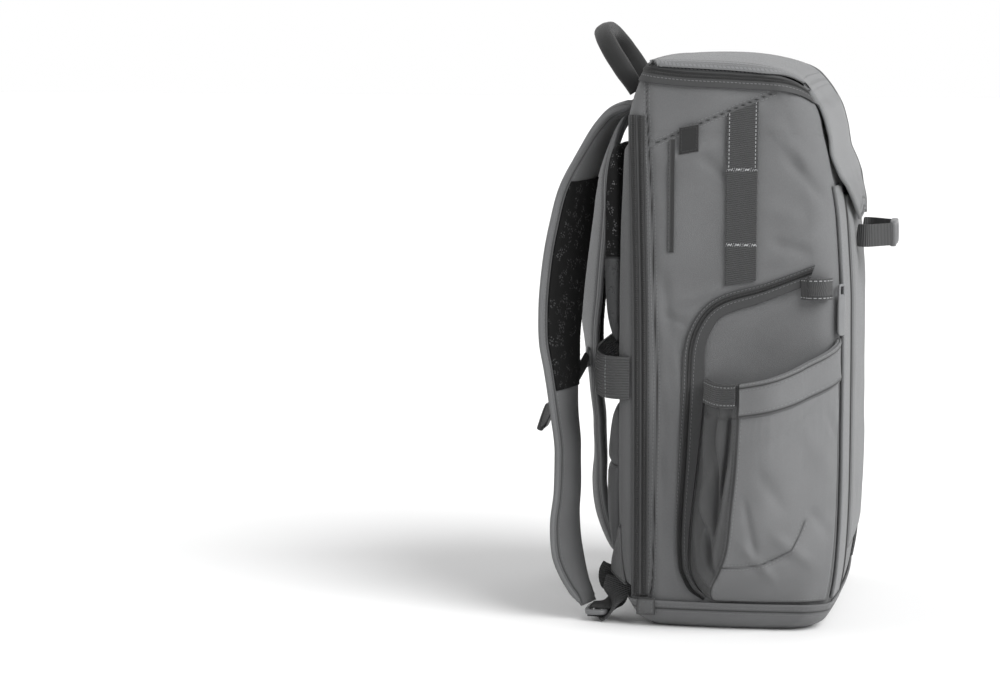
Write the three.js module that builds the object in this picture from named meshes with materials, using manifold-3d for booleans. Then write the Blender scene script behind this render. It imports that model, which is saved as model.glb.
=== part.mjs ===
// A camera backpack that stands on its base: padded hollow body, lid with a long front flap, rear
// access door, side doors under open pockets, harness, handle and webbing.
// Millimetres, +Z up, front towards -Y, harness towards +Y. Left is the wearer's left, at -X.
import * as THREE from "three";
import { mergeVertices } from "three/addons/utils/BufferGeometryUtils.js";
import Module from "manifold-3d";

const wasm = await Module();
wasm.setup();

// Body
const BODY_HEIGHT = 480;
const BODY_WIDTH = 280;
const FRONT_REACH = 94;
const BACK_REACH = 95;
const FRONT_CORNER = 24;
const REAR_CORNER = 15;
const SIDE_BULGE = 3;
const FRONT_CROWN = 4;
const BODY_WALL = 5;
const CLEARANCE = 0.5;

// Base tray
const TRAY_HEIGHT = 23;
const TRAY_WALL = 1.8;

// Rear door and its zips
const DOOR_BOTTOM = 26;
const DOOR_TOP = BODY_HEIGHT * 0.8542;
const DOOR_EDGE = 4;
const REAR_ZIP_WIDTH = 14;
const ZIP_THICKNESS = 1.6;
const REAR_TAB_HEIGHT = 14;
const REAR_TAB_WIDTH = 14;

// Lid
const LID_THICKNESS = 2.6;
const LID_BAND_HEIGHT = 12;

// Front panel
const FRONT_PANEL_WIDTH = 148;
const FRONT_PANEL_BOTTOM = BODY_HEIGHT * 0.1208;
const FRONT_PANEL_TOP = BODY_HEIGHT * 0.7417;
const FRONT_PANEL_THICKNESS = 3.6;
const FRONT_ZIP_WIDTH = 9;
const FRONT_ZIP_BOTTOM = 26;
const FRONT_ZIP_TOP = BODY_HEIGHT * 0.7458;
const GUSSET_THICKNESS = 1.4;
const GUSSET_SEAM_TURN = 0.74;
const GUSSET_BOTTOM = 27;
const GUSSET_TOP = BODY_HEIGHT * 0.7625;

// Side door zip, pocket and trims
const POCKET_BOTTOM = 26;
const POCKET_MOUTH = BODY_HEIGHT * 0.4354;
const POCKET_MOUTH_RISE = BODY_HEIGHT * 0.0708;
const POCKET_BULGE = 46;
const POCKET_CLOTH = 1.8;
const POCKET_CORNER = 0.29;
const HEM_HEIGHT = 27;
const HEM_CLOTH = 1.2;
const TAB_HEIGHT = 19;
const SIDE_WEB_WIDTH = 25;
const SIDE_WEB_Y = -7.6;
const SIDE_WEB_BOTTOM = BODY_HEIGHT * 0.6;
const SIDE_WEB_TOP = BODY_HEIGHT * 0.8958;
const WEB_THICKNESS = 1.6;
const WELT_WIDTH = 5;
const WELT_Y = 50;
const WELT_BOTTOM = BODY_HEIGHT * 0.65;
const WELT_TOP = BODY_HEIGHT * 0.8417;
const LABEL_WIDTH = 16;
const LABEL_HEIGHT = 22;
const LABEL_Y = 36;
const LABEL_Z = BODY_HEIGHT * 0.8417;
const LABEL_THICKNESS = 1;

// Harness
const STRAP_WIDTH = 66;
const STRAP_THICKNESS = 12;
const STRAP_REACH = 66;
const STRAP_SPREAD = 134;
const LINING_THICKNESS = 1.5;
const STERNUM_WEB_WIDTH = 20;
const STERNUM_REACH = 80;
const STERNUM_HEIGHT = BODY_HEIGHT * 0.325;
const STERNUM_BEND = 38;
const SLIDER_THICKNESS = 2.4;
const HARNESS_WEB_WIDTH = 25;
const WING_CLOTH = 2;
const WING_BOTTOM = 34;
const WING_TOP = 84;
const WING_REACH = 16;
const WING_TIP_Z = 46;
const LOCK_WIDTH = 36;
const LOCK_DEPTH = 20;
const LOCK_THICKNESS = 4.5;
const LOCK_HEIGHT = 8;
const BUCKLE_THICKNESS = 8;

// Back cushions and luggage band
const CUSHION_INNER_X = 14;
const CUSHION_OUTER_X = 112;
const CUSHION_BOTTOM = BODY_HEIGHT * 0.475;
const CUSHION_TOP = BODY_HEIGHT * 0.8417;
const CUSHION_THICKNESS = 20;
const LUMBAR_WIDTH = 214;
const LUMBAR_BOTTOM = BODY_HEIGHT * 0.0875;
const LUMBAR_TOP = BODY_HEIGHT * 0.3875;
const LUMBAR_THICKNESS = 22;
const BAND_BOTTOM = BODY_HEIGHT * 0.3958;
const BAND_HEIGHT = 35;
const BAND_REACH = 27;
const BAND_CLOTH = 2;

// Handle, front strap, side strap and small pulls
const HANDLE_SPAN = 98;
const HANDLE_RISE = 54;
const HANDLE_LEAN = 31;
const HANDLE_WIDTH = 16;
const HANDLE_THICKNESS = 14;
const FRONT_WEB_WIDTH = 17;
const FRONT_WEB_ROOT_X = 40;
const FRONT_WEB_Z = BODY_HEIGHT * 0.6729;
const FRONT_LOOP_REACH = 30;
const FRONT_BUCKLE_LENGTH = 40;
const SIDE_STRAP_Z = BODY_HEIGHT * 0.675;
const SIDE_STRAP_FRONT = -62;
const SIDE_STRAP_REAR = 40;
const SIDE_BUCKLE_LENGTH = 58;
const LOOP_WIDTH = 17;
const LOOP_BULGE = 7;
const PULLER_LENGTH = 44;
const PULLER_WIDTH = 9;
const PULLER_THICKNESS = 2.4;
const REAR_PULLER_LENGTH = 48;
const REAR_PULLER_WIDTH = 12;
const REAR_PULLER_Z = 58;
const SMALL_PULLER_LENGTH = 20;
const SMALL_PULLER_WIDTH = 7;
const SMALL_PULLER_Z = 18;
const LID_PULLER_LENGTH = 16;

const FABRIC = { color: 0x75777a, roughness: 0.85, metalness: 0 };
const DARK_FABRIC = { color: 0x4c4d4f, roughness: 0.8, metalness: 0 };
const MESH_CLOTH = { color: 0x161616, roughness: 0.95, metalness: 0 };
const WEBBING = { color: 0x3c3c3e, roughness: 0.8, metalness: 0 };
const PLASTIC = { color: 0x2c2d2e, roughness: 0.5, metalness: 0 };

const bag = new THREE.Group();

// Names the columns of a table of rows.
function table(columns, rows) {
  return rows.map((row) =>
    Object.fromEntries(columns.map((name, i) => [name, row[i]])),
  );
}

// Reads a column of a table by a smooth cubic through its rows, ordered by "at". The cubic never
// swings past a row.
function readTable(rows, column, at) {
  const last = rows.length - 1;
  let i = 0;
  while (i < last - 1 && at > rows[i + 1].at) i += 1;
  const secant = (k) => (rows[k + 1][column] - rows[k][column]) / (rows[k + 1].at - rows[k].at);
  const slope = (k) => {
    const before = secant(Math.max(k - 1, 0));
    const after = secant(Math.min(k, last - 1));
    if (before * after <= 0) return 0;
    const most = 3 * Math.min(Math.abs(before), Math.abs(after));
    return Math.sign(after) * Math.min(Math.abs(before + after) / 2, most);
  };
  const span = rows[i + 1].at - rows[i].at;
  const t = THREE.MathUtils.clamp((at - rows[i].at) / span, 0, 1);
  const rise = rows[i + 1][column] - rows[i][column];
  const start = slope(i) * span;
  const end = slope(i + 1) * span;
  const bend = (start - 2 * rise + end) * t + (3 * rise - 2 * start - end);
  return rows[i][column] + t * (start + t * bend);
}

function mix(a, b, t) {
  return a + (b - a) * t;
}

function steps(count, from = 0, to = 1) {
  return Array.from({ length: count + 1 }, (_, i) => mix(from, to, i / count));
}

// A closed body between two grids of points, joined round their edges.
function sheetBody(outer, inner, wraps = false) {
  const rowCount = outer.length;
  const columnCount = outer[0].length;
  const points = [...outer.flat(), ...inner.flat()];
  const innerStart = rowCount * columnCount;
  const faces = [];
  const quad = (a, b, c, d) => faces.push(a, b, c, a, c, d);
  const at = (r, c) => r * columnCount + (c % columnCount);
  const across = wraps ? columnCount : columnCount - 1;
  for (let r = 0; r + 1 < rowCount; r += 1) {
    for (let k = 0; k < across; k += 1) {
      const [a, b, c, d] = [at(r, k), at(r, k + 1), at(r + 1, k + 1), at(r + 1, k)];
      quad(a, b, c, d);
      quad(a + innerStart, d + innerStart, c + innerStart, b + innerStart);
    }
    if (wraps) continue;
    for (const [near, far] of [
      [at(r + 1, 0), at(r, 0)],
      [at(r, across), at(r + 1, across)],
    ])
      quad(far, near, near + innerStart, far + innerStart);
  }
  for (let c = 0; c < across; c += 1) {
    for (const [near, far] of [
      [at(0, c), at(0, c + 1)],
      [at(rowCount - 1, c + 1), at(rowCount - 1, c)],
    ])
      quad(far, near, near + innerStart, far + innerStart);
  }
  return closeGeometry(points, faces);
}

// Merges shared points, drops faces without area and turns the faces outwards.
function closeGeometry(points, faces) {
  const loose = new THREE.BufferGeometry().setFromPoints(points);
  loose.setIndex(faces);
  const merged = mergeVertices(loose, 1e-3);
  const index = merged.index.array;
  const kept = [];
  for (let i = 0; i < index.length; i += 3) {
    const [a, b, c] = [index[i], index[i + 1], index[i + 2]];
    if (a !== b && b !== c && a !== c) kept.push(a, b, c);
  }
  merged.setIndex(kept);
  if (signedVolume(merged) < 0) merged.setIndex(kept.reverse());
  return merged;
}

function signedVolume(geometry) {
  const place = geometry.getAttribute("position");
  const corner = [0, 1, 2].map(() => new THREE.Vector3());
  let sum = 0;
  for (let i = 0; i < geometry.index.count; i += 3) {
    corner.forEach((v, k) => v.fromBufferAttribute(place, geometry.index.array[i + k]));
    sum += corner[0].dot(corner[1].cross(corner[2])) / 6;
  }
  return sum;
}

// A cloth sheet: a surface place(u, v) with its faces lift and lift + thick away along its normal.
function sheet(place, us, vs, lift, thick, away) {
  const small = 1e-3;
  const slopeU = Math.sign(us[us.length - 1] - us[0]) * small;
  const outer = [];
  const inner = [];
  for (const v of vs) {
    outer.push([]);
    inner.push([]);
    for (const u of us) {
      const point = place(u, v);
      const du = place(u + slopeU, v).sub(place(u - slopeU, v));
      const dv = place(u, v + small).sub(place(u, v - small));
      const normal = du.cross(dv).normalize();
      if (normal.dot(away(point)) < 0) normal.negate();
      const gap = typeof lift === "function" ? lift(u, v) : lift;
      const depth = typeof thick === "function" ? thick(u, v) : thick;
      inner[inner.length - 1].push(point.clone().addScaledVector(normal, gap));
      outer[outer.length - 1].push(point.clone().addScaledVector(normal, gap + depth));
    }
  }
  return sheetBody(outer, inner);
}

function add(name, geometry, finish) {
  const mesh = new THREE.Mesh(geometry, new THREE.MeshStandardMaterial(finish));
  mesh.name = name;
  bag.add(mesh);
  return mesh;
}

// Both sides of the bag: its name, and the sign of X there.
const SIDES = [
  ["left", -1],
  ["right", 1],
];

function mirrored(point, side) {
  return new THREE.Vector3(point.x * side, point.y, point.z);
}

function toSolid(geometry) {
  const bare = geometry.clone();
  bare.deleteAttribute("normal");
  bare.deleteAttribute("uv");
  const merged = mergeVertices(bare, 1e-4);
  return new wasm.Manifold(
    new wasm.Mesh({
      numProp: 3,
      vertProperties: new Float32Array(merged.getAttribute("position").array),
      triVerts: new Uint32Array(merged.index.array),
    }),
  );
}

function fromSolid(solid) {
  const mesh = solid.getMesh();
  return new THREE.BufferGeometry()
    .setAttribute("position", new THREE.BufferAttribute(mesh.vertProperties, 3))
    .setIndex(new THREE.BufferAttribute(mesh.triVerts, 1));
}

// Sections of the body: height and half width, front and back reach, as shares of the named sizes.
const SECTIONS = table(["at", "half", "front", "back"], [
  [0.0, 0.9, 0.74, 0.7],
  [0.01, 0.955, 0.82, 0.77],
  [0.03, 0.985, 0.885, 0.84],
  [0.075, 1.0, 0.945, 0.93],
  [0.125, 1.0, 0.975, 0.97],
  [0.31, 1.0, 1.0, 0.99],
  [0.55, 1.0, 0.995, 0.99],
  [0.65, 0.995, 0.97, 0.985],
  [0.72, 0.985, 0.94, 0.98],
  [0.76, 0.98, 0.905, 0.975],
  [0.82, 0.97, 0.84, 0.96],
  [0.85, 0.96, 0.8, 0.94],
  [0.89, 0.95, 0.75, 0.915],
  [0.927, 0.94, 0.63, 0.86],
  [0.96, 0.93, 0.48, 0.78],
  [1.0, 0.92, 0.36, 0.68],
]);

function sectionAt(z) {
  const at = z / BODY_HEIGHT;
  const front = FRONT_REACH * readTable(SECTIONS, "front", at) - FRONT_CROWN;
  return {
    half: (BODY_WIDTH / 2) * readTable(SECTIONS, "half", at),
    front,
    back: BACK_REACH * readTable(SECTIONS, "back", at),
  };
}

// The body's skin on the +X side. The turn runs from 0 at the middle of the back by 1 at the rear
// corner's start, 2 at its end, 3 and 4 round the front corner, to 5 at the middle of the front.
function skinPoint(turn, z) {
  const { half, front, back } = sectionAt(z);
  const flatFront = half - FRONT_CORNER;
  const flatBack = half - REAR_CORNER;
  const quarter = Math.PI / 2;
  if (turn <= 1) return new THREE.Vector3(flatBack * turn, back, z);
  if (turn <= 2) {
    const angle = (turn - 1) * quarter;
    const x = flatBack + REAR_CORNER * Math.sin(angle);
    return new THREE.Vector3(x, back - REAR_CORNER * (1 - Math.cos(angle)), z);
  }
  if (turn <= 3) {
    const t = turn - 2;
    const y = mix(back - REAR_CORNER, FRONT_CORNER - front, t);
    return new THREE.Vector3(half + 4 * SIDE_BULGE * t * (1 - t), y, z);
  }
  if (turn <= 4) {
    const angle = (turn - 3) * quarter;
    const x = flatFront + FRONT_CORNER * Math.cos(angle);
    return new THREE.Vector3(x, FRONT_CORNER * (1 - Math.sin(angle)) - front, z);
  }
  const t = turn - 4;
  return new THREE.Vector3(flatFront * (1 - t), -front - FRONT_CROWN * t * (2 - t), z);
}

// The turn of the skin that holds a place (y, z) of the bag's side.
function sideTurn(y, z) {
  const { front, back } = sectionAt(z);
  const rearEnd = back - REAR_CORNER;
  const frontEnd = FRONT_CORNER - front;
  const quarter = Math.PI / 2;
  if (y > rearEnd)
    return 1 + Math.acos(Math.min((y - rearEnd) / REAR_CORNER, 1)) / quarter;
  if (y < frontEnd)
    return 3 + Math.asin(Math.min((frontEnd - y) / FRONT_CORNER, 1)) / quarter;
  return 2 + (rearEnd - y) / (rearEnd - frontEnd);
}

// The turn of the skin that holds a place (x, z) of the bag's front.
function frontTurn(x, z) {
  const { half } = sectionAt(z);
  const flat = half - FRONT_CORNER;
  if (x <= flat) return 5 - x / flat;
  return 3 + Math.acos(Math.min((x - flat) / FRONT_CORNER, 1)) / (Math.PI / 2);
}

function skinNormal(turn, z) {
  const small = 1e-3;
  const around = skinPoint(turn + small, z).sub(skinPoint(turn - small, z));
  const up = skinPoint(turn, z + small).sub(skinPoint(turn, z - small));
  return up.cross(around).normalize().negate();
}

// A skin point moved out by lift, on the given side.
function skinAt(turn, z, lift, side) {
  const place = skinPoint(turn, z);
  const normal = skinNormal(turn, z);
  if (normal.dot(new THREE.Vector3(place.x, place.y, 0)) < 0) normal.negate();
  return mirrored(place.addScaledVector(normal, lift), side);
}

function onSide(y, z, lift, side) {
  return skinAt(sideTurn(y, z), z, lift, side);
}

function onFront(x, z, lift) {
  return skinAt(frontTurn(Math.abs(x), z), z, lift, x < 0 ? -1 : 1);
}

// Away from the bag's upright middle line.
function outward(point) {
  return new THREE.Vector3(point.x, point.y, 0);
}

// Height of the body's rim over Y, where the lid's zip runs.
const RIM = table(["at", "height"], [
  [-0.8, 0.862],
  [-0.745, 0.878],
  [-0.7, 0.892],
  [-0.65, 0.911],
  [-0.56, 0.929],
  [-0.4, 0.944],
  [0.0, 0.953],
  [0.45, 0.958],
  [0.8, 0.966],
  [1.0, 0.97],
]);

function rimHeight(turn) {
  let low = 0.8 * BODY_HEIGHT;
  let high = BODY_HEIGHT;
  for (let i = 0; i < 24; i += 1) {
    const z = (low + high) / 2;
    const rim = BODY_HEIGHT * readTable(RIM, "height", skinPoint(turn, z).y / BACK_REACH);
    if (z < rim) low = z;
    else high = z;
  }
  return (low + high) / 2;
}

const TURNS = [0, 1, 1.5, 2, 2.33, 2.67, 3, 3.33, 3.67, 4, 4.5, 5];

// The turns all the way round, with the side of each.
function fullTurns() {
  const right = TURNS.map((turn) => [turn, 1]);
  const left = TURNS.slice(1, -1).map((turn) => [turn, -1]);
  return [...right, ...left.reverse()];
}

const SHELL_LEVELS = [
  0, 0.012, 0.03, 0.075, 0.125, 0.22, 0.31, 0.43, 0.55, 0.65, 0.72, 0.76, 0.82,
];
const RIM_LEVELS = [0.35, 0.7, 1];

// The heights from bottom to top at which upright strips bend with the body.
function heights(bottom, top) {
  const apart = 0.012 * BODY_HEIGHT;
  const levels = [...SHELL_LEVELS, 0.85, 0.89, 0.92].map((level) => level * BODY_HEIGHT);
  const inside = levels.filter((z) => z > bottom + apart && z < top - apart);
  return [bottom, ...inside, top];
}

// The hollow tub: rows of points from the middle of its floor, up its skin to the rim.
function tubRows(lift, floor) {
  const turns = fullTurns();
  const rows = [turns.map(() => new THREE.Vector3(0, 0, floor))];
  for (const level of SHELL_LEVELS) {
    const z = Math.max(level * BODY_HEIGHT, floor);
    const inset = level === 0 ? CLEARANCE : 0;
    rows.push(turns.map(([turn, side]) => skinAt(turn, z, lift - inset, side).setZ(z)));
  }
  const lastLevel = SHELL_LEVELS[SHELL_LEVELS.length - 1] * BODY_HEIGHT;
  for (const share of RIM_LEVELS)
    rows.push(
      turns.map(([turn, side]) =>
        skinAt(turn, mix(lastLevel, rimHeight(turn), share), lift, side),
      ),
    );
  return rows;
}

// The rear door's parting line over height, as shares of the back reach.
const PARTING = table(["at", "share"], [
  [0.0, 0.775],
  [0.55, 0.787],
  [0.7, 0.806],
  [0.78, 0.818],
  [0.87, 0.833],
]);

function partingY(z) {
  return BACK_REACH * readTable(PARTING, "share", z / BODY_HEIGHT);
}

// A block behind the parting line, as wide as the bag, that cuts the door's window.
function windowBlock() {
  const outline = new THREE.Shape();
  const levels = steps(8, DOOR_BOTTOM, DOOR_TOP);
  const behind = BACK_REACH + REAR_CORNER;
  outline.moveTo(behind, DOOR_BOTTOM);
  levels.forEach((z) => outline.lineTo(partingY(z), z));
  outline.lineTo(behind, DOOR_TOP);
  const depth = BODY_WIDTH + 8 * SIDE_BULGE;
  const block = new THREE.ExtrudeGeometry(outline, { depth, bevelEnabled: false });
  block.translate(0, 0, -depth / 2);
  const turn = new THREE.Matrix4().set(0, 0, 1, 0, 1, 0, 0, 0, 0, 1, 0, 0, 0, 0, 0, 1);
  return block.applyMatrix4(turn);
}

function makeBodyShell() {
  const floor = TRAY_WALL + CLEARANCE;
  const tub = sheetBody(tubRows(0, floor), tubRows(-BODY_WALL, floor + BODY_WALL), true);
  const cut = toSolid(tub).subtract(toSolid(windowBlock()));
  add("body_shell", fromSolid(cut), FABRIC);
}

function trayRows(lift, floor) {
  const turns = fullTurns();
  const rows = [turns.map(() => new THREE.Vector3(0, 0, floor))];
  const levels = SHELL_LEVELS.map((level) => level * BODY_HEIGHT);
  const below = levels.filter((z) => z > floor && z < TRAY_HEIGHT);
  for (const z of [floor, ...below, TRAY_HEIGHT]) {
    rows.push(turns.map(([turn, side]) => skinAt(turn, z, lift, side).setZ(z)));
  }
  return rows;
}

function makeBasePanel() {
  const outer = trayRows(CLEARANCE + TRAY_WALL, 0);
  const inner = trayRows(CLEARANCE, TRAY_WALL);
  add("base_panel", sheetBody(outer, inner, true), DARK_FABRIC);
}

// How far the door's padding stands behind its flange, over the door's height.
const DOOR_PADDING = table(["at", "share"], [
  [0.0, 0.3],
  [0.04, 0.8],
  [0.1, 1.0],
  [0.86, 1.0],
  [0.93, 0.75],
  [1.0, 0.15],
]);

function doorTurnEnd(z) {
  return sideTurn(partingY(z) + CLEARANCE, z);
}

function makeBackPanel() {
  const bottom = DOOR_BOTTOM + CLEARANCE;
  const top = DOOR_TOP - CLEARANCE;
  const us = [-1, -0.92, -0.84, -0.75, -0.4, 0, 0.4, 0.75, 0.84, 0.92, 1];
  const outer = [];
  const inner = [];
  for (const z of heights(bottom, top)) {
    const flange = partingY(z) + CLEARANCE;
    const share = readTable(DOOR_PADDING, "share", (z - bottom) / (top - bottom));
    const end = doorTurnEnd(z);
    const edge = skinPoint(end, z).x;
    const corner = (u) => mix(1, end, (Math.abs(u) - 0.75) * 4);
    const turnAt = (u) => (Math.abs(u) < 0.75 ? Math.abs(u) / 0.75 : corner(u));
    const outerPoint = (u) => {
      const place = mirrored(skinPoint(turnAt(u), z), u < 0 ? -1 : 1);
      const behind = Math.max(place.y - flange, CLEARANCE);
      const depth = Math.max(behind * share, Math.min(behind, DOOR_EDGE));
      return place.setY(flange + depth);
    };
    outer.push(us.map(outerPoint));
    inner.push(us.map((u) => new THREE.Vector3(u * edge, flange, z)));
  }
  add("back_panel", sheetBody(outer, inner), FABRIC);
}

function makeRearZips() {
  for (const [side, sign] of SIDES) {
    const place = (u, z) => onSide(partingY(z) + (u * REAR_ZIP_WIDTH) / 2, z, 0, sign);
    const zs = heights(DOOR_BOTTOM, DOOR_TOP);
    const zip = sheet(place, steps(3, -1, 1), zs, CLEARANCE, ZIP_THICKNESS, outward);
    add(`rear_zip_${side}`, zip, DARK_FABRIC);
    const tabPlace = (u, z) => onSide(partingY(z) - 6 + (u * REAR_TAB_WIDTH) / 2, z, 0, sign);
    const lift = CLEARANCE * 3 + TRAY_WALL;
    const tabZs = heights(DOOR_BOTTOM - REAR_TAB_HEIGHT, DOOR_BOTTOM - CLEARANCE);
    const tab = sheet(tabPlace, steps(4, -1, 1), tabZs, lift, ZIP_THICKNESS, outward);
    add(`rear_zip_tab_${side}`, tab, DARK_FABRIC);
  }
}

// Rows of the lid, back edge first: the middle line and the side edge, Y as shares of the reach
// behind or in front, heights as shares of the body's height.
const LID_ROWS = table(["at", "y", "z", "edgeY", "edgeZ"], [
  [0.0, 0.785, 0.9685, 0.7, 0.967],
  [0.06, 0.69, 0.9725, 0.62, 0.965],
  [0.14, 0.52, 0.976, 0.46, 0.9615],
  [0.22, 0.27, 0.977, 0.25, 0.959],
  [0.3, 0.0, 0.975, 0.0, 0.956],
  [0.37, -0.2, 0.969, -0.22, 0.952],
  [0.43, -0.37, 0.9585, -0.42, 0.9455],
  [0.49, -0.5, 0.944, -0.56, 0.932],
  [0.55, -0.61, 0.924, -0.65, 0.914],
  [0.61, -0.71, 0.896, -0.71, 0.893],
]);

// Rows of the flap that lies down the front: height of the middle and of the edge, the edge's
// half width, and how far the cloth stands off the body.
const FLAP_ROWS = table(["at", "z", "edgeZ", "half", "off"], [
  [0.61, 0.896, 0.89, 0.8, 0.6],
  [0.69, 0.85, 0.845, 0.81, 2.0],
  [0.73, 0.815, 0.812, 0.82, 0.5],
  [0.79, 0.775, 0.78, 0.83, 3.0],
  [0.85, 0.745, 0.752, 0.66, 4.4],
  [0.92, 0.724, 0.722, 0.48, 5.2],
  [1.0, 0.703, 0.694, 0.3, 5.4],
]);

const CROWN_END = 0.61;
const CROWN_POWER = 0.62;

// The lid's inner face: a crowned surface over the rim, then the flap down the front.
function lidPlace(u, v) {
  const side = u < 0 ? -1 : 1;
  const across = Math.abs(u);
  if (v <= CROWN_END) {
    const read = (column) => readTable(LID_ROWS, column, v);
    const middle = new THREE.Vector3(0, bySign(read("y")), BODY_HEIGHT * read("z"));
    const edgeY = bySign(read("edgeY"));
    const edgeZ = BODY_HEIGHT * read("edgeZ") + CLEARANCE * 2;
    const edge = onSide(edgeY, edgeZ, CLEARANCE, 1);
    const angle = (across * Math.PI) / 2;
    const out = Math.sin(angle);
    const down = 1 - Math.pow(Math.max(Math.cos(angle), 0), CROWN_POWER);
    const y = mix(middle.y, edge.y, down);
    return new THREE.Vector3(side * edge.x * out, y, mix(middle.z, edge.z, down));
  }
  const read = (column) => readTable(FLAP_ROWS, column, v);
  const z = BODY_HEIGHT * mix(read("z"), read("edgeZ"), across * across);
  const x = (BODY_WIDTH / 2) * read("half") * across;
  return onFront(side * Math.min(x, sectionAt(z).half - 1), z, read("off") + CLEARANCE);
}

function makeTopLid() {
  const us = [-1, -0.88, -0.74, -0.5, 0, 0.5, 0.74, 0.88, 1];
  const vs = [
    0, 0.06, 0.14, 0.3, 0.37, 0.43, 0.49, 0.55, 0.61, 0.65, 0.69, 0.73, 0.79, 0.85, 0.92, 1,
  ];
  const away = (point) => new THREE.Vector3(point.x * 0.4, point.y * 0.6, 60);
  const lid = sheet(lidPlace, us, vs, CLEARANCE, LID_THICKNESS, away);
  add("top_lid", lid, FABRIC);
}

function makeFrontPanel() {
  const half = FRONT_PANEL_WIDTH / 2;
  const place = (u, z) => onFront(u * half, z, 0);
  const fadeFrom = mix(FRONT_PANEL_BOTTOM, FRONT_PANEL_TOP, 0.88);
  const thick = (u, z) => {
    const fade = Math.max(z - fadeFrom, 0) / (FRONT_PANEL_TOP - fadeFrom);
    return FRONT_PANEL_THICKNESS * (1 - 0.4 * Math.pow(Math.abs(u), 8)) * (1 - 0.6 * fade);
  };
  const zs = heights(FRONT_PANEL_BOTTOM, FRONT_PANEL_TOP);
  const us = [-1, -0.9, -0.6, 0, 0.6, 0.9, 1];
  add("front_panel", sheet(place, us, zs, CLEARANCE, thick, outward), FABRIC);
}

function makeFrontTrims() {
  const zipMiddle = FRONT_PANEL_WIDTH / 2 + CLEARANCE + FRONT_ZIP_WIDTH / 2;
  const gussetInner = zipMiddle + FRONT_ZIP_WIDTH / 2 + CLEARANCE;
  for (const [side, sign] of SIDES) {
    const zipPlace = (u, z) => onFront(sign * (zipMiddle + (u * FRONT_ZIP_WIDTH) / 2), z, 0);
    const zipZs = heights(FRONT_ZIP_BOTTOM, FRONT_ZIP_TOP);
    const zip = sheet(zipPlace, steps(1, -1, 1), zipZs, CLEARANCE, ZIP_THICKNESS, outward);
    add(`front_zip_${side}`, zip, DARK_FABRIC);
    const seam = 3 + GUSSET_SEAM_TURN;
    const gussetPlace = (u, z) => skinAt(mix(seam, frontTurn(gussetInner, z), u), z, 0, sign);
    const gussetZs = heights(GUSSET_BOTTOM, GUSSET_TOP);
    const gussetUs = [0, 0.12, 0.25, 1];
    const gusset = sheet(gussetPlace, gussetUs, gussetZs, CLEARANCE, GUSSET_THICKNESS, outward);
    add(`front_gusset_${side}`, gusset, FABRIC);
  }
}

// The side door's zip band: its outer and inner edge, Y as shares of the reach behind or in front
// of the middle, heights as shares of the body's height.
const DOOR_BAND = table(["at", "outerY", "outerZ", "innerY", "innerZ"], [
  [0.0, -0.72, 0.632, -0.66, 0.598],
  [0.12, -0.3, 0.601, -0.26, 0.567],
  [0.24, 0.09, 0.578, 0.06, 0.544],
  [0.32, 0.27, 0.55, 0.16, 0.521],
  [0.4, 0.39, 0.5, 0.22, 0.483],
  [0.5, 0.426, 0.417, 0.23, 0.396],
  [0.64, 0.447, 0.29, 0.28, 0.29],
  [0.78, 0.463, 0.177, 0.34, 0.183],
  [0.88, 0.45, 0.12, 0.355, 0.125],
  [0.95, 0.41, 0.09, 0.325, 0.092],
  [1.0, 0.32, 0.063, 0.26, 0.069],
]);

// The rear seam of the pocket over height, along the door band's inner edge.
const POCKET_SEAM = table(["at", "y"], [
  [0.05, 0.1],
  [0.069, 0.22],
  [0.092, 0.29],
  [0.125, 0.32],
  [0.183, 0.305],
  [0.29, 0.245],
  [0.396, 0.2],
  [0.52, 0.19],
]);

function bySign(share) {
  return share * (share > 0 ? BACK_REACH : FRONT_REACH);
}

function makeSideDoors() {
  for (const [side, sign] of SIDES) {
    const place = (u, v) => {
      const read = (column) => readTable(DOOR_BAND, column, v);
      const y = mix(bySign(read("outerY")), bySign(read("innerY")), u);
      return onSide(y, BODY_HEIGHT * mix(read("outerZ"), read("innerZ"), u), 0, sign);
    };
    const band = sheet(place, steps(2), steps(18), CLEARANCE, ZIP_THICKNESS, outward);
    add(`door_zip_${side}`, band, DARK_FABRIC);
  }
}

// How far the pocket stands out: over its rear gusset, and over its panel.
const GUSSET_SWELL = table(["at", "share"], [
  [0.0, 0.0],
  [0.5, 0.8],
  [1.0, 1.0],
]);
const PANEL_SWELL = table(["at", "share"], [
  [0.0, 1.0],
  [0.25, 1.08],
  [0.5, 0.93],
  [0.75, 0.55],
  [0.92, 0.17],
  [1.0, 0.0],
]);
const POCKET_RISE = table(["at", "swell", "corner"], [
  [0.0, 0.0, 0.0],
  [0.06, 0.16, 0.35],
  [0.15, 0.38, 0.75],
  [0.35, 0.66, 0.97],
  [0.7, 0.9, 1.0],
  [1.0, 1.0, 1.0],
]);

function pocketMouth(share) {
  return POCKET_MOUTH + POCKET_MOUTH_RISE * Math.pow(Math.max(share, 0), 2.2);
}

// The pocket's inner face: share 0 to 1 from the rear seam to the front seam, rise 0 to 1 from the
// bottom seam to the mouth.
function pocketPlace(share, rise, side) {
  const across = THREE.MathUtils.clamp(share, 0, 1);
  const up = Math.max(rise, 0);
  const corner = POCKET_CORNER * Math.max(readTable(POCKET_RISE, "corner", up), 0.05);
  const swell =
    across < corner
      ? readTable(GUSSET_SWELL, "share", across / corner)
      : readTable(PANEL_SWELL, "share", (across - corner) / (1 - corner));
  const z = mix(POCKET_BOTTOM, pocketMouth(across), up);
  const rear = BACK_REACH * readTable(POCKET_SEAM, "y", z / BODY_HEIGHT);
  const front = skinPoint(3 + GUSSET_SEAM_TURN, z).y + POCKET_CLOTH + CLEARANCE * 2;
  const bulge = POCKET_BULGE * swell * readTable(POCKET_RISE, "swell", up);
  return onSide(mix(rear, front, across), z, bulge, side);
}

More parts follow.
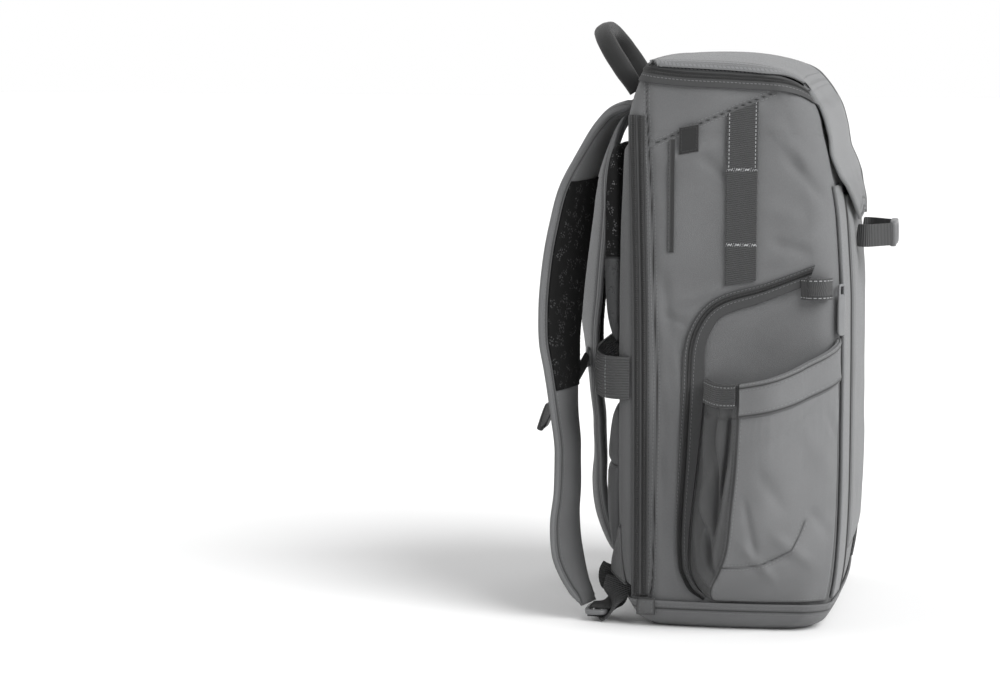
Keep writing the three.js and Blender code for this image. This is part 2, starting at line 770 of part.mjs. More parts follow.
const POCKET_SHARES = [0, 0.1, 0.2, 0.29, 0.42, 0.58, 0.72, 0.82, 0.89, 0.95, 1];

function makePockets() {
  for (const [side, sign] of SIDES) {
    const rises = [0, 0.03, 0.06, 0.11, 0.17, 0.3, 0.5, 0.75, 0.9, 1];
    const place = (u, v) => pocketPlace(u, v, sign);
    const pocket = sheet(place, POCKET_SHARES, rises, CLEARANCE, POCKET_CLOTH, outward);
    add(`side_pocket_${side}`, pocket, FABRIC);
    const onPocket = CLEARANCE * 2 + POCKET_CLOTH;
    const hemDepth = HEM_HEIGHT / (POCKET_MOUTH - POCKET_BOTTOM);
    const hemShares = POCKET_SHARES.filter((share) => share >= POCKET_CORNER);
    const hem = sheet(place, hemShares, steps(2, 1 - hemDepth, 1), onPocket, HEM_CLOTH, outward);
    add(`pocket_hem_${side}`, hem, FABRIC);
    const tabDepth = TAB_HEIGHT / (POCKET_MOUTH - POCKET_BOTTOM);
    const tabEnd = POCKET_CORNER - 0.02;
    const tabShares = [0.02, 0.1, 0.2, tabEnd];
    const tab = sheet(place, tabShares, steps(2, 1 - tabDepth, 1), onPocket, HEM_CLOTH, outward);
    add(`pocket_tab_${side}`, tab, WEBBING);
  }
}

// A patch that lies on the bag's side, slanted by slant over its width.
function sidePatch(name, middleY, width, bottom, top, slant, lift, thick, finish, sign, rows = 8) {
  const place = (u, v) => {
    const y = middleY - (u * width) / 2;
    return onSide(y, mix(bottom + slant.bottom * u, top + slant.top * u, v), 0, sign);
  };
  add(name, sheet(place, steps(1, -1, 1), steps(rows), lift, thick, outward), finish);
}

function makeSideTrims() {
  for (const [side, sign] of SIDES) {
    sidePatch(
      `side_webbing_${side}`, SIDE_WEB_Y, SIDE_WEB_WIDTH, SIDE_WEB_BOTTOM, SIDE_WEB_TOP,
      { bottom: 2, top: 5 }, CLEARANCE, WEB_THICKNESS, WEBBING, sign,
    );
  }
  sidePatch(
    "slot_welt_left", WELT_Y, WELT_WIDTH, WELT_BOTTOM, WELT_TOP,
    { bottom: 0, top: 0 }, CLEARANCE, WEB_THICKNESS, FABRIC, -1,
  );
  sidePatch(
    "label_tag", LABEL_Y, LABEL_WIDTH, LABEL_Z - LABEL_HEIGHT / 2, LABEL_Z + LABEL_HEIGHT / 2,
    { bottom: 1.5, top: 1.5 }, CLEARANCE, LABEL_THICKNESS, MESH_CLOTH, -1, 3,
  );
}

// The shoulder strap's outer edge, top first: height, reach behind the body and spread to the side
// as shares of the named sizes, twist in degrees, and width as a share.
const STRAP_ROWS = table(["at", "z", "reach", "spread", "twist", "width"], [
  [0.0, 0.893, -0.085, 0.62, 0, 0.94],
  [0.04, 0.883, 0.16, 0.63, 1, 0.96],
  [0.09, 0.86, 0.34, 0.65, 4, 0.98],
  [0.16, 0.817, 0.54, 0.7, 9, 1.0],
  [0.24, 0.756, 0.77, 0.77, 16, 1.0],
  [0.32, 0.694, 0.88, 0.83, 21, 1.0],
  [0.4, 0.625, 0.96, 0.87, 23, 1.0],
  [0.48, 0.542, 1.0, 0.9, 22, 1.0],
  [0.54, 0.49, 0.99, 0.91, 19, 1.0],
  [0.6, 0.435, 0.92, 0.91, 14, 0.98],
  [0.68, 0.358, 0.83, 0.92, 9, 0.95],
  [0.75, 0.29, 0.77, 0.93, 8, 0.92],
  [0.82, 0.223, 0.78, 0.95, 10, 0.89],
  [0.88, 0.169, 0.82, 0.97, 13, 0.86],
  [0.93, 0.117, 0.79, 0.99, 15, 0.82],
  [0.97, 0.067, 0.69, 1.0, 16, 0.78],
  [1.0, 0.036, 0.56, 1.0, 16, 0.74],
]);

// The strap's middle surface: u from -1 at the outer edge to 1 at the edge near the middle.
function strapPlace(u, v, side) {
  const read = (column) => readTable(STRAP_ROWS, column, v);
  const twist = THREE.MathUtils.degToRad(read("twist"));
  const across = ((u + 1) / 2) * STRAP_WIDTH * read("width");
  const x = STRAP_SPREAD * read("spread") - across * Math.cos(twist);
  const y = BACK_REACH + STRAP_REACH * read("reach") - across * Math.sin(twist);
  return new THREE.Vector3(side * x, y, BODY_HEIGHT * read("z"));
}

function strapHalfThickness(u) {
  return (STRAP_THICKNESS / 2) * (1 - 0.62 * Math.pow(Math.abs(u), 4));
}

function towardsWearer(point) {
  return new THREE.Vector3(0, -1, point.z > 0.8 * BODY_HEIGHT ? -1.2 : 0);
}

// A point of the strap's face away from the wearer, moved off by lift.
function strapBack(u, v, lift, side) {
  const small = 1e-3;
  const across = strapPlace(u + small, v, side).sub(strapPlace(u - small, v, side));
  const along = strapPlace(u, v + small, side).sub(strapPlace(u, v - small, side));
  const normal = across.cross(along).normalize();
  if (normal.dot(towardsWearer(strapPlace(u, v, side))) > 0) normal.negate();
  return strapPlace(u, v, side).addScaledVector(normal, strapHalfThickness(u) + lift);
}

const STRAP_STEPS = 22;
const LINING_FIRST = 5;
const LINING_LAST = 14;
const LINING_SHARE = 0.84;

function makeShoulderStraps() {
  for (const [side, sign] of SIDES) {
    const place = (u, v) => strapPlace(u, v, sign);
    const us = [-1, -0.8, 0, 0.8, 1];
    const back = (u) => -strapHalfThickness(u);
    const thick = (u) => 2 * strapHalfThickness(u);
    const vs = steps(STRAP_STEPS);
    const strap = sheet(place, us, vs, back, thick, towardsWearer);
    add(`shoulder_strap_${side}`, strap, FABRIC);
    const liningUs = [-LINING_SHARE, -0.8, 0, 0.8, LINING_SHARE];
    const liningVs = vs.slice(LINING_FIRST, LINING_LAST + 1);
    const lift = (u) => strapHalfThickness(u) + CLEARANCE;
    const lining = sheet(place, liningUs, liningVs, lift, LINING_THICKNESS, towardsWearer);
    add(`strap_lining_${side}`, lining, MESH_CLOTH);
  }
}

// A flat band along a path of points, its width along the direction "wide".
function bandBody(points, wide, width, thick, count) {
  const curve = new THREE.CatmullRomCurve3(points);
  const place = (u, v) => {
    const t = THREE.MathUtils.clamp(v, 0, 1);
    const rest = v - t;
    const point = curve.getPoint(t).addScaledVector(curve.getTangent(t), rest * 100);
    return point.addScaledVector(wide, (u * width) / 2);
  };
  const first = curve.getTangent(0).cross(wide);
  const outer = [];
  const inner = [];
  for (const v of steps(count)) {
    const normal = curve.getTangent(v).cross(wide).normalize();
    if (normal.lengthSq() < 0.5) normal.copy(first);
    outer.push([-1, 1].map((u) => place(u, v).addScaledVector(normal, thick / 2)));
    inner.push([-1, 1].map((u) => place(u, v).addScaledVector(normal, -thick / 2)));
  }
  return sheetBody(outer, inner);
}

// A flat plate with a rounded outline and slots, centred on the origin in the XY plane.
function slottedPlate(length, width, thickness, corner, slots) {
  const outline = roundedOutline(length, width, corner, new THREE.Shape());
  for (const { x, y, length: slotLength, width: slotWidth } of slots)
    outline.holes.push(
      roundedOutline(slotLength, slotWidth, slotWidth * 0.3, new THREE.Path(), x, y),
    );
  const plate = new THREE.ExtrudeGeometry(outline, {
    depth: thickness,
    bevelEnabled: false,
    curveSegments: 2,
  });
  return plate.translate(0, 0, -thickness / 2);
}

function roundedOutline(length, width, corner, path, x = 0, y = 0) {
  const [a, b] = [length / 2, width / 2];
  path.moveTo(x - a + corner, y - b);
  path.lineTo(x + a - corner, y - b);
  path.quadraticCurveTo(x + a, y - b, x + a, y - b + corner);
  path.lineTo(x + a, y + b - corner);
  path.quadraticCurveTo(x + a, y + b, x + a - corner, y + b);
  path.lineTo(x - a + corner, y + b);
  path.quadraticCurveTo(x - a, y + b, x - a, y + b - corner);
  path.lineTo(x - a, y - b + corner);
  path.quadraticCurveTo(x - a, y - b, x - a + corner, y - b);
  return path;
}

const strapEnd = strapPlace(0, 1, 1);
const LOCK_X = strapEnd.x;
const LOCK_Y = strapEnd.y - LOCK_DEPTH / 2 - 2;

function makeLowerHarness() {
  const wide = new THREE.Vector3(1, 0, 0);
  const doorBack = sectionAt(DOOR_BOTTOM * 2).back;
  for (const [side, sign] of SIDES) {
    const x = sign * LOCK_X;
    const lock = slottedPlate(LOCK_WIDTH, LOCK_DEPTH, LOCK_THICKNESS, LOCK_DEPTH * 0.4, [
      { x: 0, y: LOCK_DEPTH * 0.2, length: LOCK_WIDTH * 0.72, width: LOCK_DEPTH * 0.16 },
      { x: 0, y: -LOCK_DEPTH * 0.2, length: LOCK_WIDTH * 0.72, width: LOCK_DEPTH * 0.16 },
    ]);
    lock.translate(x, LOCK_Y, LOCK_HEIGHT);
    add(`ladder_lock_${side}`, lock, PLASTIC);

    const lockTop = LOCK_HEIGHT + LOCK_THICKNESS / 2 + CLEARANCE + WEB_THICKNESS / 2;
    const lockBelow = LOCK_HEIGHT - LOCK_THICKNESS / 2 - CLEARANCE - WEB_THICKNESS / 2;
    const wingTip = new THREE.Vector3(x, doorBack + WING_REACH, WING_TIP_Z);
    const webbing = [
      new THREE.Vector3(x, LOCK_Y + LOCK_DEPTH * 0.3, lockTop),
      new THREE.Vector3(x, LOCK_Y - LOCK_DEPTH * 0.3, lockTop + 1),
      new THREE.Vector3(x, LOCK_Y - LOCK_DEPTH * 0.8, lockTop + 9),
      new THREE.Vector3(x, wingTip.y + 2.5, wingTip.z - 9),
      new THREE.Vector3(x, wingTip.y + 2.5, wingTip.z),
    ];
    add(
      `strap_webbing_${side}`,
      bandBody(webbing, wide, HARNESS_WEB_WIDTH, WEB_THICKNESS, 10), WEBBING,
    );
    const tail = [
      new THREE.Vector3(x, LOCK_Y + LOCK_DEPTH * 0.3, lockBelow),
      new THREE.Vector3(x, LOCK_Y - LOCK_DEPTH * 0.4, lockBelow - 1),
      new THREE.Vector3(x, doorBack + 7, 3),
      new THREE.Vector3(x, doorBack + 3, 9),
      new THREE.Vector3(x, doorBack + 3, 20),
      new THREE.Vector3(x, doorBack + 6, 29),
    ];
    add(
      `webbing_tail_${side}`,
      bandBody(tail, wide, HARNESS_WEB_WIDTH, WEB_THICKNESS, 14), WEBBING,
    );
    const wingPlace = (u, v) => {
      const rootZ = mix(WING_BOTTOM, WING_TOP, u);
      const root = skinPoint(1.5, rootZ);
      const start = new THREE.Vector3(sign * (root.x - 2), root.y + 3, rootZ);
      const tip = new THREE.Vector3(x + sign * (4 - 8 * u), wingTip.y, wingTip.z + 10 * (u - 0.5));
      return start.lerp(tip, v);
    };
    const wing = sheet(wingPlace, steps(3), steps(3), -WING_CLOTH / 2, WING_CLOTH, outward);
    add(`lower_wing_${side}`, wing, DARK_FABRIC);
  }
}

const SLIDER_PLACE = 0.62;

function makeSternumStrap() {
  const wide = new THREE.Vector3(0, -0.35, 1).normalize();
  const middleY = BACK_REACH + STERNUM_REACH;
  const buckleHalf = STERNUM_WEB_WIDTH;
  const sliderHalf = (STERNUM_WEB_WIDTH / BODY_HEIGHT) * 0.45;
  for (const [side, sign] of SIDES) {
    const place = (u, v) => strapPlace(u, v, sign);
    const away = (point) => towardsWearer(point).negate();
    const lift = (u) => strapHalfThickness(u) + CLEARANCE;
    const sliderVs = steps(2, SLIDER_PLACE - sliderHalf, SLIDER_PLACE + sliderHalf);
    const slider = sheet(place, [0.5, 0.68, 0.86], sliderVs, lift, SLIDER_THICKNESS, away);
    add(`sternum_slider_${side}`, slider, PLASTIC);
    const path = [
      strapBack(0.95, SLIDER_PLACE, SLIDER_THICKNESS + CLEARANCE * 3, sign),
      new THREE.Vector3(sign * STERNUM_BEND, middleY - 10, STERNUM_HEIGHT + 12),
      new THREE.Vector3(sign * (buckleHalf + CLEARANCE), middleY, STERNUM_HEIGHT),
    ];
    add(
      `sternum_strap_${side}`,
      bandBody(path, wide, STERNUM_WEB_WIDTH, WEB_THICKNESS, 8), WEBBING,
    );
  }
  const buckle = slottedPlate(2 * buckleHalf, STERNUM_WEB_WIDTH + 5, BUCKLE_THICKNESS, 5, [
    { x: 0, y: 0, length: 8, width: STERNUM_WEB_WIDTH * 0.5 },
  ]);
  buckle.rotateX(Math.PI / 2 + 0.34);
  buckle.translate(0, middleY, STERNUM_HEIGHT);
  add("sternum_buckle", buckle, PLASTIC);
}

// A cushion's thickness over its face: full in the middle, rounded to a thin edge.
function pillow(across, up) {
  const edge = (t) => Math.pow(Math.max(1 - Math.pow(Math.abs(2 * t - 1), 5), 0), 0.5);
  return 0.12 + 0.88 * edge(across) * edge(up);
}

function cushionBody(left, right, bottom, top, thickness, shape) {
  const outer = [];
  const inner = [];
  const shares = [0, 0.05, 0.2, 0.5, 0.8, 0.95, 1];
  const backs = heights(bottom, top).map((z) => sectionAt(z).back);
  const seat = Math.max(...backs) + CLEARANCE;
  for (const up of shares) {
    const z = mix(bottom, top, up);
    const depth = (across) => thickness * pillow(across, up) * shape(up);
    const x = (across) => mix(left, right, across);
    outer.push(shares.map((a) => new THREE.Vector3(x(a), seat + depth(a), z)));
    inner.push(shares.map((a) => new THREE.Vector3(x(a), seat, z)));
  }
  return sheetBody(outer, inner);
}

function makeCushions() {
  for (const [side, sign] of SIDES) {
    const ends = [CUSHION_INNER_X, CUSHION_OUTER_X].map((x) => sign * x);
    const fullness = (up) => 0.85 + 0.15 * Math.sin(up * Math.PI);
    const cushion = cushionBody(
      Math.min(...ends), Math.max(...ends), CUSHION_BOTTOM, CUSHION_TOP, CUSHION_THICKNESS,
      fullness,
    );
    add(`upper_cushion_${side}`, cushion, MESH_CLOTH);
  }
  const lowFullness = (up) => 1 - 0.45 * up * up;
  const half = LUMBAR_WIDTH / 2;
  const lumbar = cushionBody(
    -half, half, LUMBAR_BOTTOM, LUMBAR_TOP, LUMBAR_THICKNESS, lowFullness,
  );
  add("lumbar_cushion", lumbar, FABRIC);
}

const BAND_POWER = 0.72;

function makeLuggageBand() {
  const zs = [BAND_BOTTOM, BAND_BOTTOM + BAND_HEIGHT];
  const start = partingY(BAND_BOTTOM) + REAR_ZIP_WIDTH / 2 + ZIP_THICKNESS + CLEARANCE * 2;
  const rootX = onSide(start, BAND_BOTTOM, CLEARANCE, 1).x;
  const reach = sectionAt(BAND_BOTTOM).back + BAND_REACH - start;
  const half = [0, 0.15, 0.35, 0.55, 0.7, 0.8, 0.9, 0.97, 1];
  const us = [...half.slice(1).reverse().map((u) => -u), ...half];
  const row = (z, off) =>
    us.map((u) => {
      const angle = (u * Math.PI) / 2;
      const out = Math.sign(angle) * Math.pow(Math.abs(Math.sin(angle)), BAND_POWER);
      const behind = Math.pow(Math.max(Math.cos(angle), 0), BAND_POWER);
      return new THREE.Vector3(out * (rootX + off), start + (reach + off) * behind, z);
    });
  const outer = zs.map((z) => row(z, BAND_CLOTH));
  add("luggage_band", sheetBody(outer, zs.map((z) => row(z, 0))), WEBBING);
}

function makeHandle() {
  const foot = BODY_HEIGHT * 0.93;
  const footBack = sectionAt(foot).back;
  const half = HANDLE_SPAN / 2;
  const lean = Math.tan(THREE.MathUtils.degToRad(HANDLE_LEAN));
  const seat = footBack + HANDLE_THICKNESS / 2 + CLEARANCE / 5;
  const at = (xShare, rise) =>
    new THREE.Vector3(half * xShare, seat + HANDLE_RISE * rise * lean, foot + HANDLE_RISE * rise);
  const left = [at(-1, 0), at(-1, 0.4), at(-0.88, 0.76), at(-0.5, 0.97)];
  const right = [at(0.5, 0.97), at(0.88, 0.76), at(1, 0.4), at(1, 0)];
  const curve = new THREE.CatmullRomCurve3([...left, at(0, 1), ...right]);
  const section = new THREE.Shape();
  section.absellipse(0, 0, HANDLE_THICKNESS / 2, HANDLE_WIDTH / 2, 0, 2 * Math.PI);
  const handle = new THREE.ExtrudeGeometry(section, {
    steps: 20,
    curveSegments: 4,
    extrudePath: curve,
  });
  add("haul_handle", handle, MESH_CLOTH);
}

function makeLidZip() {
  // A band under the lid's edge, from one end of the rim's zip round the back to the other.
  const ends = 3.85;
  const place = (u, v) => {
    const turn = Math.abs(u) * ends;
    const top = rimHeight(turn) - CLEARANCE;
    return skinAt(turn, mix(top - LID_BAND_HEIGHT, top, v), 0, u < 0 ? -1 : 1);
  };
  const half = [0.13, 0.26, 0.345, 0.43, 0.52, 0.58, 0.64, 0.7, 0.78, 0.84, 0.9, 0.95, 1];
  const us = [...half.slice().reverse().map((u) => -u), 0, ...half];
  add("lid_zip", sheet(place, us, steps(2), CLEARANCE, ZIP_THICKNESS, outward), DARK_FABRIC);
}

function makeFrontStrap() {
  const wide = new THREE.Vector3(0, 0, 1);
  const panelFace = FRONT_PANEL_THICKNESS + CLEARANCE * 2;
  const endY = -(FRONT_REACH + FRONT_LOOP_REACH);
  for (const [side, sign] of SIDES) {
    const root = onFront(sign * FRONT_WEB_ROOT_X, FRONT_WEB_Z, panelFace);
    const inset = sign * FRONT_BUCKLE_LENGTH * 0.5;
    const path = [
      root,
      new THREE.Vector3(root.x + sign * 1.5, mix(root.y, endY, 0.3), FRONT_WEB_Z),
      new THREE.Vector3(mix(root.x, inset, 0.6), mix(root.y, endY, 0.75), FRONT_WEB_Z),
      new THREE.Vector3(inset + sign * CLEARANCE, endY, FRONT_WEB_Z),
    ];
    add(
      `front_strap_${side}`, bandBody(path, wide, FRONT_WEB_WIDTH, WEB_THICKNESS, 10), WEBBING,
    );
  }
  const buckle = slottedPlate(
    FRONT_BUCKLE_LENGTH - CLEARANCE, FRONT_WEB_WIDTH + 5, BUCKLE_THICKNESS, 4,
    [{ x: 0, y: 0, length: 6, width: FRONT_WEB_WIDTH * 0.45 }],
  );
  buckle.rotateX(Math.PI / 2);
  buckle.translate(0, endY, FRONT_WEB_Z);
  add("front_buckle", buckle, PLASTIC);
}

function makeSideStrap() {
  const lift = CLEARANCE * 2 + WEB_THICKNESS;
  const middle = (SIDE_STRAP_FRONT + SIDE_STRAP_REAR) / 2;
  const place = (u, v) => onSide(mix(SIDE_STRAP_REAR, SIDE_STRAP_FRONT, u), v, 0, 1);
  const zs = steps(2, SIDE_STRAP_Z - SIDE_WEB_WIDTH / 2, SIDE_STRAP_Z + SIDE_WEB_WIDTH / 2);
  add("side_strap_right", sheet(place, steps(10), zs, lift, WEB_THICKNESS, outward), WEBBING);
  const buckle = slottedPlate(
    SIDE_BUCKLE_LENGTH, SIDE_WEB_WIDTH + 6, BUCKLE_THICKNESS, 5,
    [
      { x: -SIDE_BUCKLE_LENGTH * 0.02, y: 0, length: 22, width: SIDE_WEB_WIDTH * 0.36 },
      { x: SIDE_BUCKLE_LENGTH * 0.36, y: 0, length: 4, width: SIDE_WEB_WIDTH },
    ],
  );
  buckle.rotateX(Math.PI / 2);
  buckle.rotateZ(Math.PI / 2);
  const seat = onSide(middle, SIDE_STRAP_Z, lift + WEB_THICKNESS + CLEARANCE, 1);
  buckle.translate(seat.x + BUCKLE_THICKNESS / 2 + 0.2, middle, SIDE_STRAP_Z);
  add("side_buckle_right", buckle, PLASTIC);
}

// A puller: a bar with a slot, its length along the plate's own Y.
function pullerBody(length, width) {
  return slottedPlate(width, length, PULLER_THICKNESS, width * 0.3, [
    { x: 0, y: -length * 0.33, length: width * 0.45, width: length * 0.16 },
  ]);
}

// Stands a plate upright on a place, its face along the level part of the given direction.
function seatPlate(plate, place, direction) {
  const face = new THREE.Vector3(direction.x, direction.y, 0).normalize();
  const up = new THREE.Vector3(0, 0, 1);
  const basis = new THREE.Matrix4().makeBasis(up.clone().cross(face), up, face);
  return plate.applyMatrix4(basis).translate(place.x, place.y, place.z);
}

function sideDirection(y, z, side) {
  return onSide(y, z, 1, side).sub(onSide(y, z, 0, side));
}

function makePulls() {
  const top = POCKET_MOUTH + POCKET_MOUTH_RISE + CLEARANCE * 2 + PULLER_LENGTH;
  const seam = skinPoint(3 + GUSSET_SEAM_TURN, top).y;
  for (const [side, sign] of SIDES) {
    const place = (u, v) => {
      const bow = LOOP_BULGE * Math.sin(Math.PI * THREE.MathUtils.clamp(v, 0, 1));
      return onSide(mix(seam + 27, seam + 9, v), top - 4 + (u * LOOP_WIDTH) / 2, bow, sign);
    };
    const lift = CLEARANCE * 2 + ZIP_THICKNESS;
    const loop = sheet(place, steps(1, -1, 1), steps(6), lift, WEB_THICKNESS, outward);
    add(`web_loop_${side}`, loop, WEBBING);
    const y = seam + 1;
    const z = top - PULLER_LENGTH / 2;
    const off = CLEARANCE * 2 + GUSSET_THICKNESS + PULLER_THICKNESS / 2;
    const puller = pullerBody(PULLER_LENGTH, PULLER_WIDTH);
    seatPlate(puller, onSide(y, z, off, sign), sideDirection(y, z, sign));
    add(`door_puller_${side}`, puller, PLASTIC);
  }
  const onTab = CLEARANCE * 3 + TRAY_WALL + ZIP_THICKNESS;
  const onBand = CLEARANCE + ZIP_THICKNESS;
  const [longZ, shortZ] = [REAR_PULLER_Z, SMALL_PULLER_Z];
  const pulls = table(["name", "back", "z", "length", "width", "under"], [
    ["rear_puller_large", 3, longZ, REAR_PULLER_LENGTH, REAR_PULLER_WIDTH, onBand],
    ["rear_puller_small", -6, shortZ, SMALL_PULLER_LENGTH, SMALL_PULLER_WIDTH, onTab],
  ]);
  for (const { name, back, z, length, width, under } of pulls) {
    const y = partingY(z) + back;
    const lift = under + CLEARANCE + PULLER_THICKNESS / 2;
    const seat = onSide(y - width / 2, z + length / 2, lift, 1).setY(y).setZ(z);
    add(name, seatPlate(pullerBody(length, width), seat, new THREE.Vector3(1, 0, 0)), PLASTIC);
  }
  const hang = rimHeight(0.5) - LID_BAND_HEIGHT - 10;
  const lidSeat = sectionAt(hang - LID_PULLER_LENGTH / 2).back + CLEARANCE / 2 + PULLER_THICKNESS / 2;
  const lidPlate = new THREE.Vector3(-HANDLE_SPAN / 2 - HANDLE_WIDTH, lidSeat, hang);
  const lidPuller = pullerBody(LID_PULLER_LENGTH, SMALL_PULLER_WIDTH);
  add("lid_puller", seatPlate(lidPuller, lidPlate, new THREE.Vector3(0, 1, 0)), PLASTIC);
}

makeBodyShell();
makeBasePanel();
makeBackPanel();
makeRearZips();
makeTopLid();
makeLidZip();
makeFrontPanel();
makeFrontTrims();
makeSideDoors();
makePockets();
makeSideTrims();
makeShoulderStraps();
makeLowerHarness();
makeSternumStrap();
makeCushions();
makeLuggageBand();
makeHandle();
makeFrontStrap();
makeSideStrap();
makePulls();

export default bag;
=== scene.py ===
"""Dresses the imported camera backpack: cloth, webbing, pads, zips and fittings over its solids.

Blender works in metres. The shapes here are worked out in millimetres, front towards -Y and the
wearer's left at -X, and are turned to metres where they become meshes.
"""

import math

import bpy
import numpy as np
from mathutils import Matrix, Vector


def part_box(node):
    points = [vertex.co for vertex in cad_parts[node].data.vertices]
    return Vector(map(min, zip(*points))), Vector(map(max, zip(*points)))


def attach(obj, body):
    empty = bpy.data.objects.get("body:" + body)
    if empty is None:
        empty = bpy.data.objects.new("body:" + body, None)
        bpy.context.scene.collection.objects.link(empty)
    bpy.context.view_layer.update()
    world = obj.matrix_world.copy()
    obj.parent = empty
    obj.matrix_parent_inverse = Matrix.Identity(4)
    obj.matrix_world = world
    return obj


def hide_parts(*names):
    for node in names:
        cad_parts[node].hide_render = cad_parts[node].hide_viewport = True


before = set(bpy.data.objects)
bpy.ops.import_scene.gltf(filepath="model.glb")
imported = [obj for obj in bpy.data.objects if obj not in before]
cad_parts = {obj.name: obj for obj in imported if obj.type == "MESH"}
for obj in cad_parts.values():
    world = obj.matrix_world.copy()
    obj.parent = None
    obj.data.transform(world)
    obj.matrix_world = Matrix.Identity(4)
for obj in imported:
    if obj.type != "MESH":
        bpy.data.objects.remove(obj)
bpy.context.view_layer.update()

MM = 0.001
SIDES = (("left", -1), ("right", 1))

# ---------------------------------------------------------------- sizes, as in the part
BODY_HEIGHT = 480
BODY_WIDTH = 280
FRONT_REACH = 94
BACK_REACH = 95
FRONT_CORNER = 24
REAR_CORNER = 15
SIDE_BULGE = 3
FRONT_CROWN = 4
BODY_WALL = 5
CLEARANCE = 0.5
TRAY_HEIGHT = 23
TRAY_WALL = 1.8
DOOR_BOTTOM = 26
DOOR_TOP = 410
REAR_ZIP_WIDTH = 14
LID_THICKNESS = 2.6
LID_BAND_HEIGHT = 12
FRONT_PANEL_WIDTH = 148
FRONT_PANEL_BOTTOM = 58
FRONT_PANEL_TOP = 356
FRONT_PANEL_THICKNESS = 3.6
FRONT_ZIP_WIDTH = 9
GUSSET_SEAM_TURN = 0.74
POCKET_BOTTOM = 26
POCKET_MOUTH = 209
POCKET_MOUTH_RISE = 34
POCKET_BULGE = 46
POCKET_CLOTH = 1.8
POCKET_CORNER = 0.29
HEM_HEIGHT = 27
TAB_HEIGHT = 19
SIDE_WEB_WIDTH = 25
SIDE_WEB_Y = -7.6
WEB_THICKNESS = 1.6
STRAP_WIDTH = 66
STRAP_THICKNESS = 12
STRAP_REACH = 66
STRAP_SPREAD = 134
BAND_BOTTOM = 190
BAND_HEIGHT = 35
BAND_REACH = 27
HANDLE_SPAN = 98


# ---------------------------------------------------------------- tables and curves
def table(columns, rows):
    """Names the columns of a table of rows."""
    data = np.array(rows, float)
    return {name: data[:, i] for i, name in enumerate(columns.split())}


def read(rows, column, at):
    """Reads a column by a cubic through its rows that never swings past a row."""
    x, y = rows["at"], rows[column]
    secant = np.diff(y) / np.diff(x)
    before = np.concatenate([secant[:1], secant])
    after = np.concatenate([secant, secant[-1:]])
    most = 3 * np.minimum(abs(before), abs(after))
    slope = np.sign(after) * np.minimum(abs(before + after) / 2, most)
    slope[before * after <= 0] = 0
    at = np.asarray(at, float)
    i = np.clip(np.searchsorted(x, at) - 1, 0, len(x) - 2)
    span = x[i + 1] - x[i]
    t = np.clip((at - x[i]) / span, 0, 1)
    rise = y[i + 1] - y[i]
    start, end = slope[i] * span, slope[i + 1] * span
    bend = (start - 2 * rise + end) * t + (3 * rise - 2 * start - end)
    return y[i] + t * (start + t * bend)


def mix(a, b, t):
    """Runs straight from a, where t is 0, to b, where t is 1."""
    return a + (b - a) * t


def smooth(low, high, value):
    """Rises from 0 at low to 1 at high along t*t*(3 - 2t)."""
    t = np.clip((value - low) / (high - low), 0, 1)
    return t * t * (3 - 2 * t)


def bell(value, middle, width):
    """A bump exp(-((value - middle) / width) squared)."""
    return np.exp(-(((value - middle) / width) ** 2))


def unit(vectors):
    """Vectors divided by their own lengths."""
    length = np.linalg.norm(vectors, axis=-1, keepdims=True)
    return vectors / np.maximum(length, 1e-9)


WAVE_COUNT = 7


def ripple(x, y, seed, size):
    """Soft waves of about the given length: the mean of sines along seeded random directions."""
    rng = np.random.default_rng(seed)
    total = 0
    for _ in range(WAVE_COUNT):
        angle, length = rng.uniform(0, math.pi), size * rng.uniform(0.6, 1.7)
        phase = rng.uniform(0, 2 * math.pi)
        wave = (x * math.cos(angle) + y * math.sin(angle)) * (2 * math.pi / length)
        total = total + np.sin(wave + phase)
    return total / WAVE_COUNT


def creases(x, y, rows):
    """Adds up folds given as rows x0, y0, x1, y1, width, height: each is a bell across its own
    segment, fading out towards both ends."""
    total = np.zeros(np.broadcast(x, y).shape)
    for x0, y0, x1, y1, width, height in rows:
        dx, dy = x1 - x0, y1 - y0
        t = ((x - x0) * dx + (y - y0) * dy) / (dx * dx + dy * dy)
        across = ((x - x0) * dy - (y - y0) * dx) / math.hypot(dx, dy)
        total += height * bell(across, 0, width) * smooth(-0.08, 0.3, t) * smooth(1.08, 0.7, t)
    return total


def seam_lines(x, y, lines):
    """The distance to the nearest of some polylines, and how far along it that is."""
    best = np.full(np.broadcast(x, y).shape, 99.0)
    run = np.zeros(best.shape)
    for line in lines:
        start = 0.0
        for (x0, y0), (x1, y1) in zip(line, line[1:]):
            dx, dy = x1 - x0, y1 - y0
            length = math.hypot(dx, dy)
            t = np.clip(((x - x0) * dx + (y - y0) * dy) / length**2, 0, 1)
            away = np.hypot(x - x0 - t * dx, y - y0 - t * dy)
            run = np.where(away < best, start + t * length, run)
            best = np.minimum(best, away)
            start += length
    return best, run


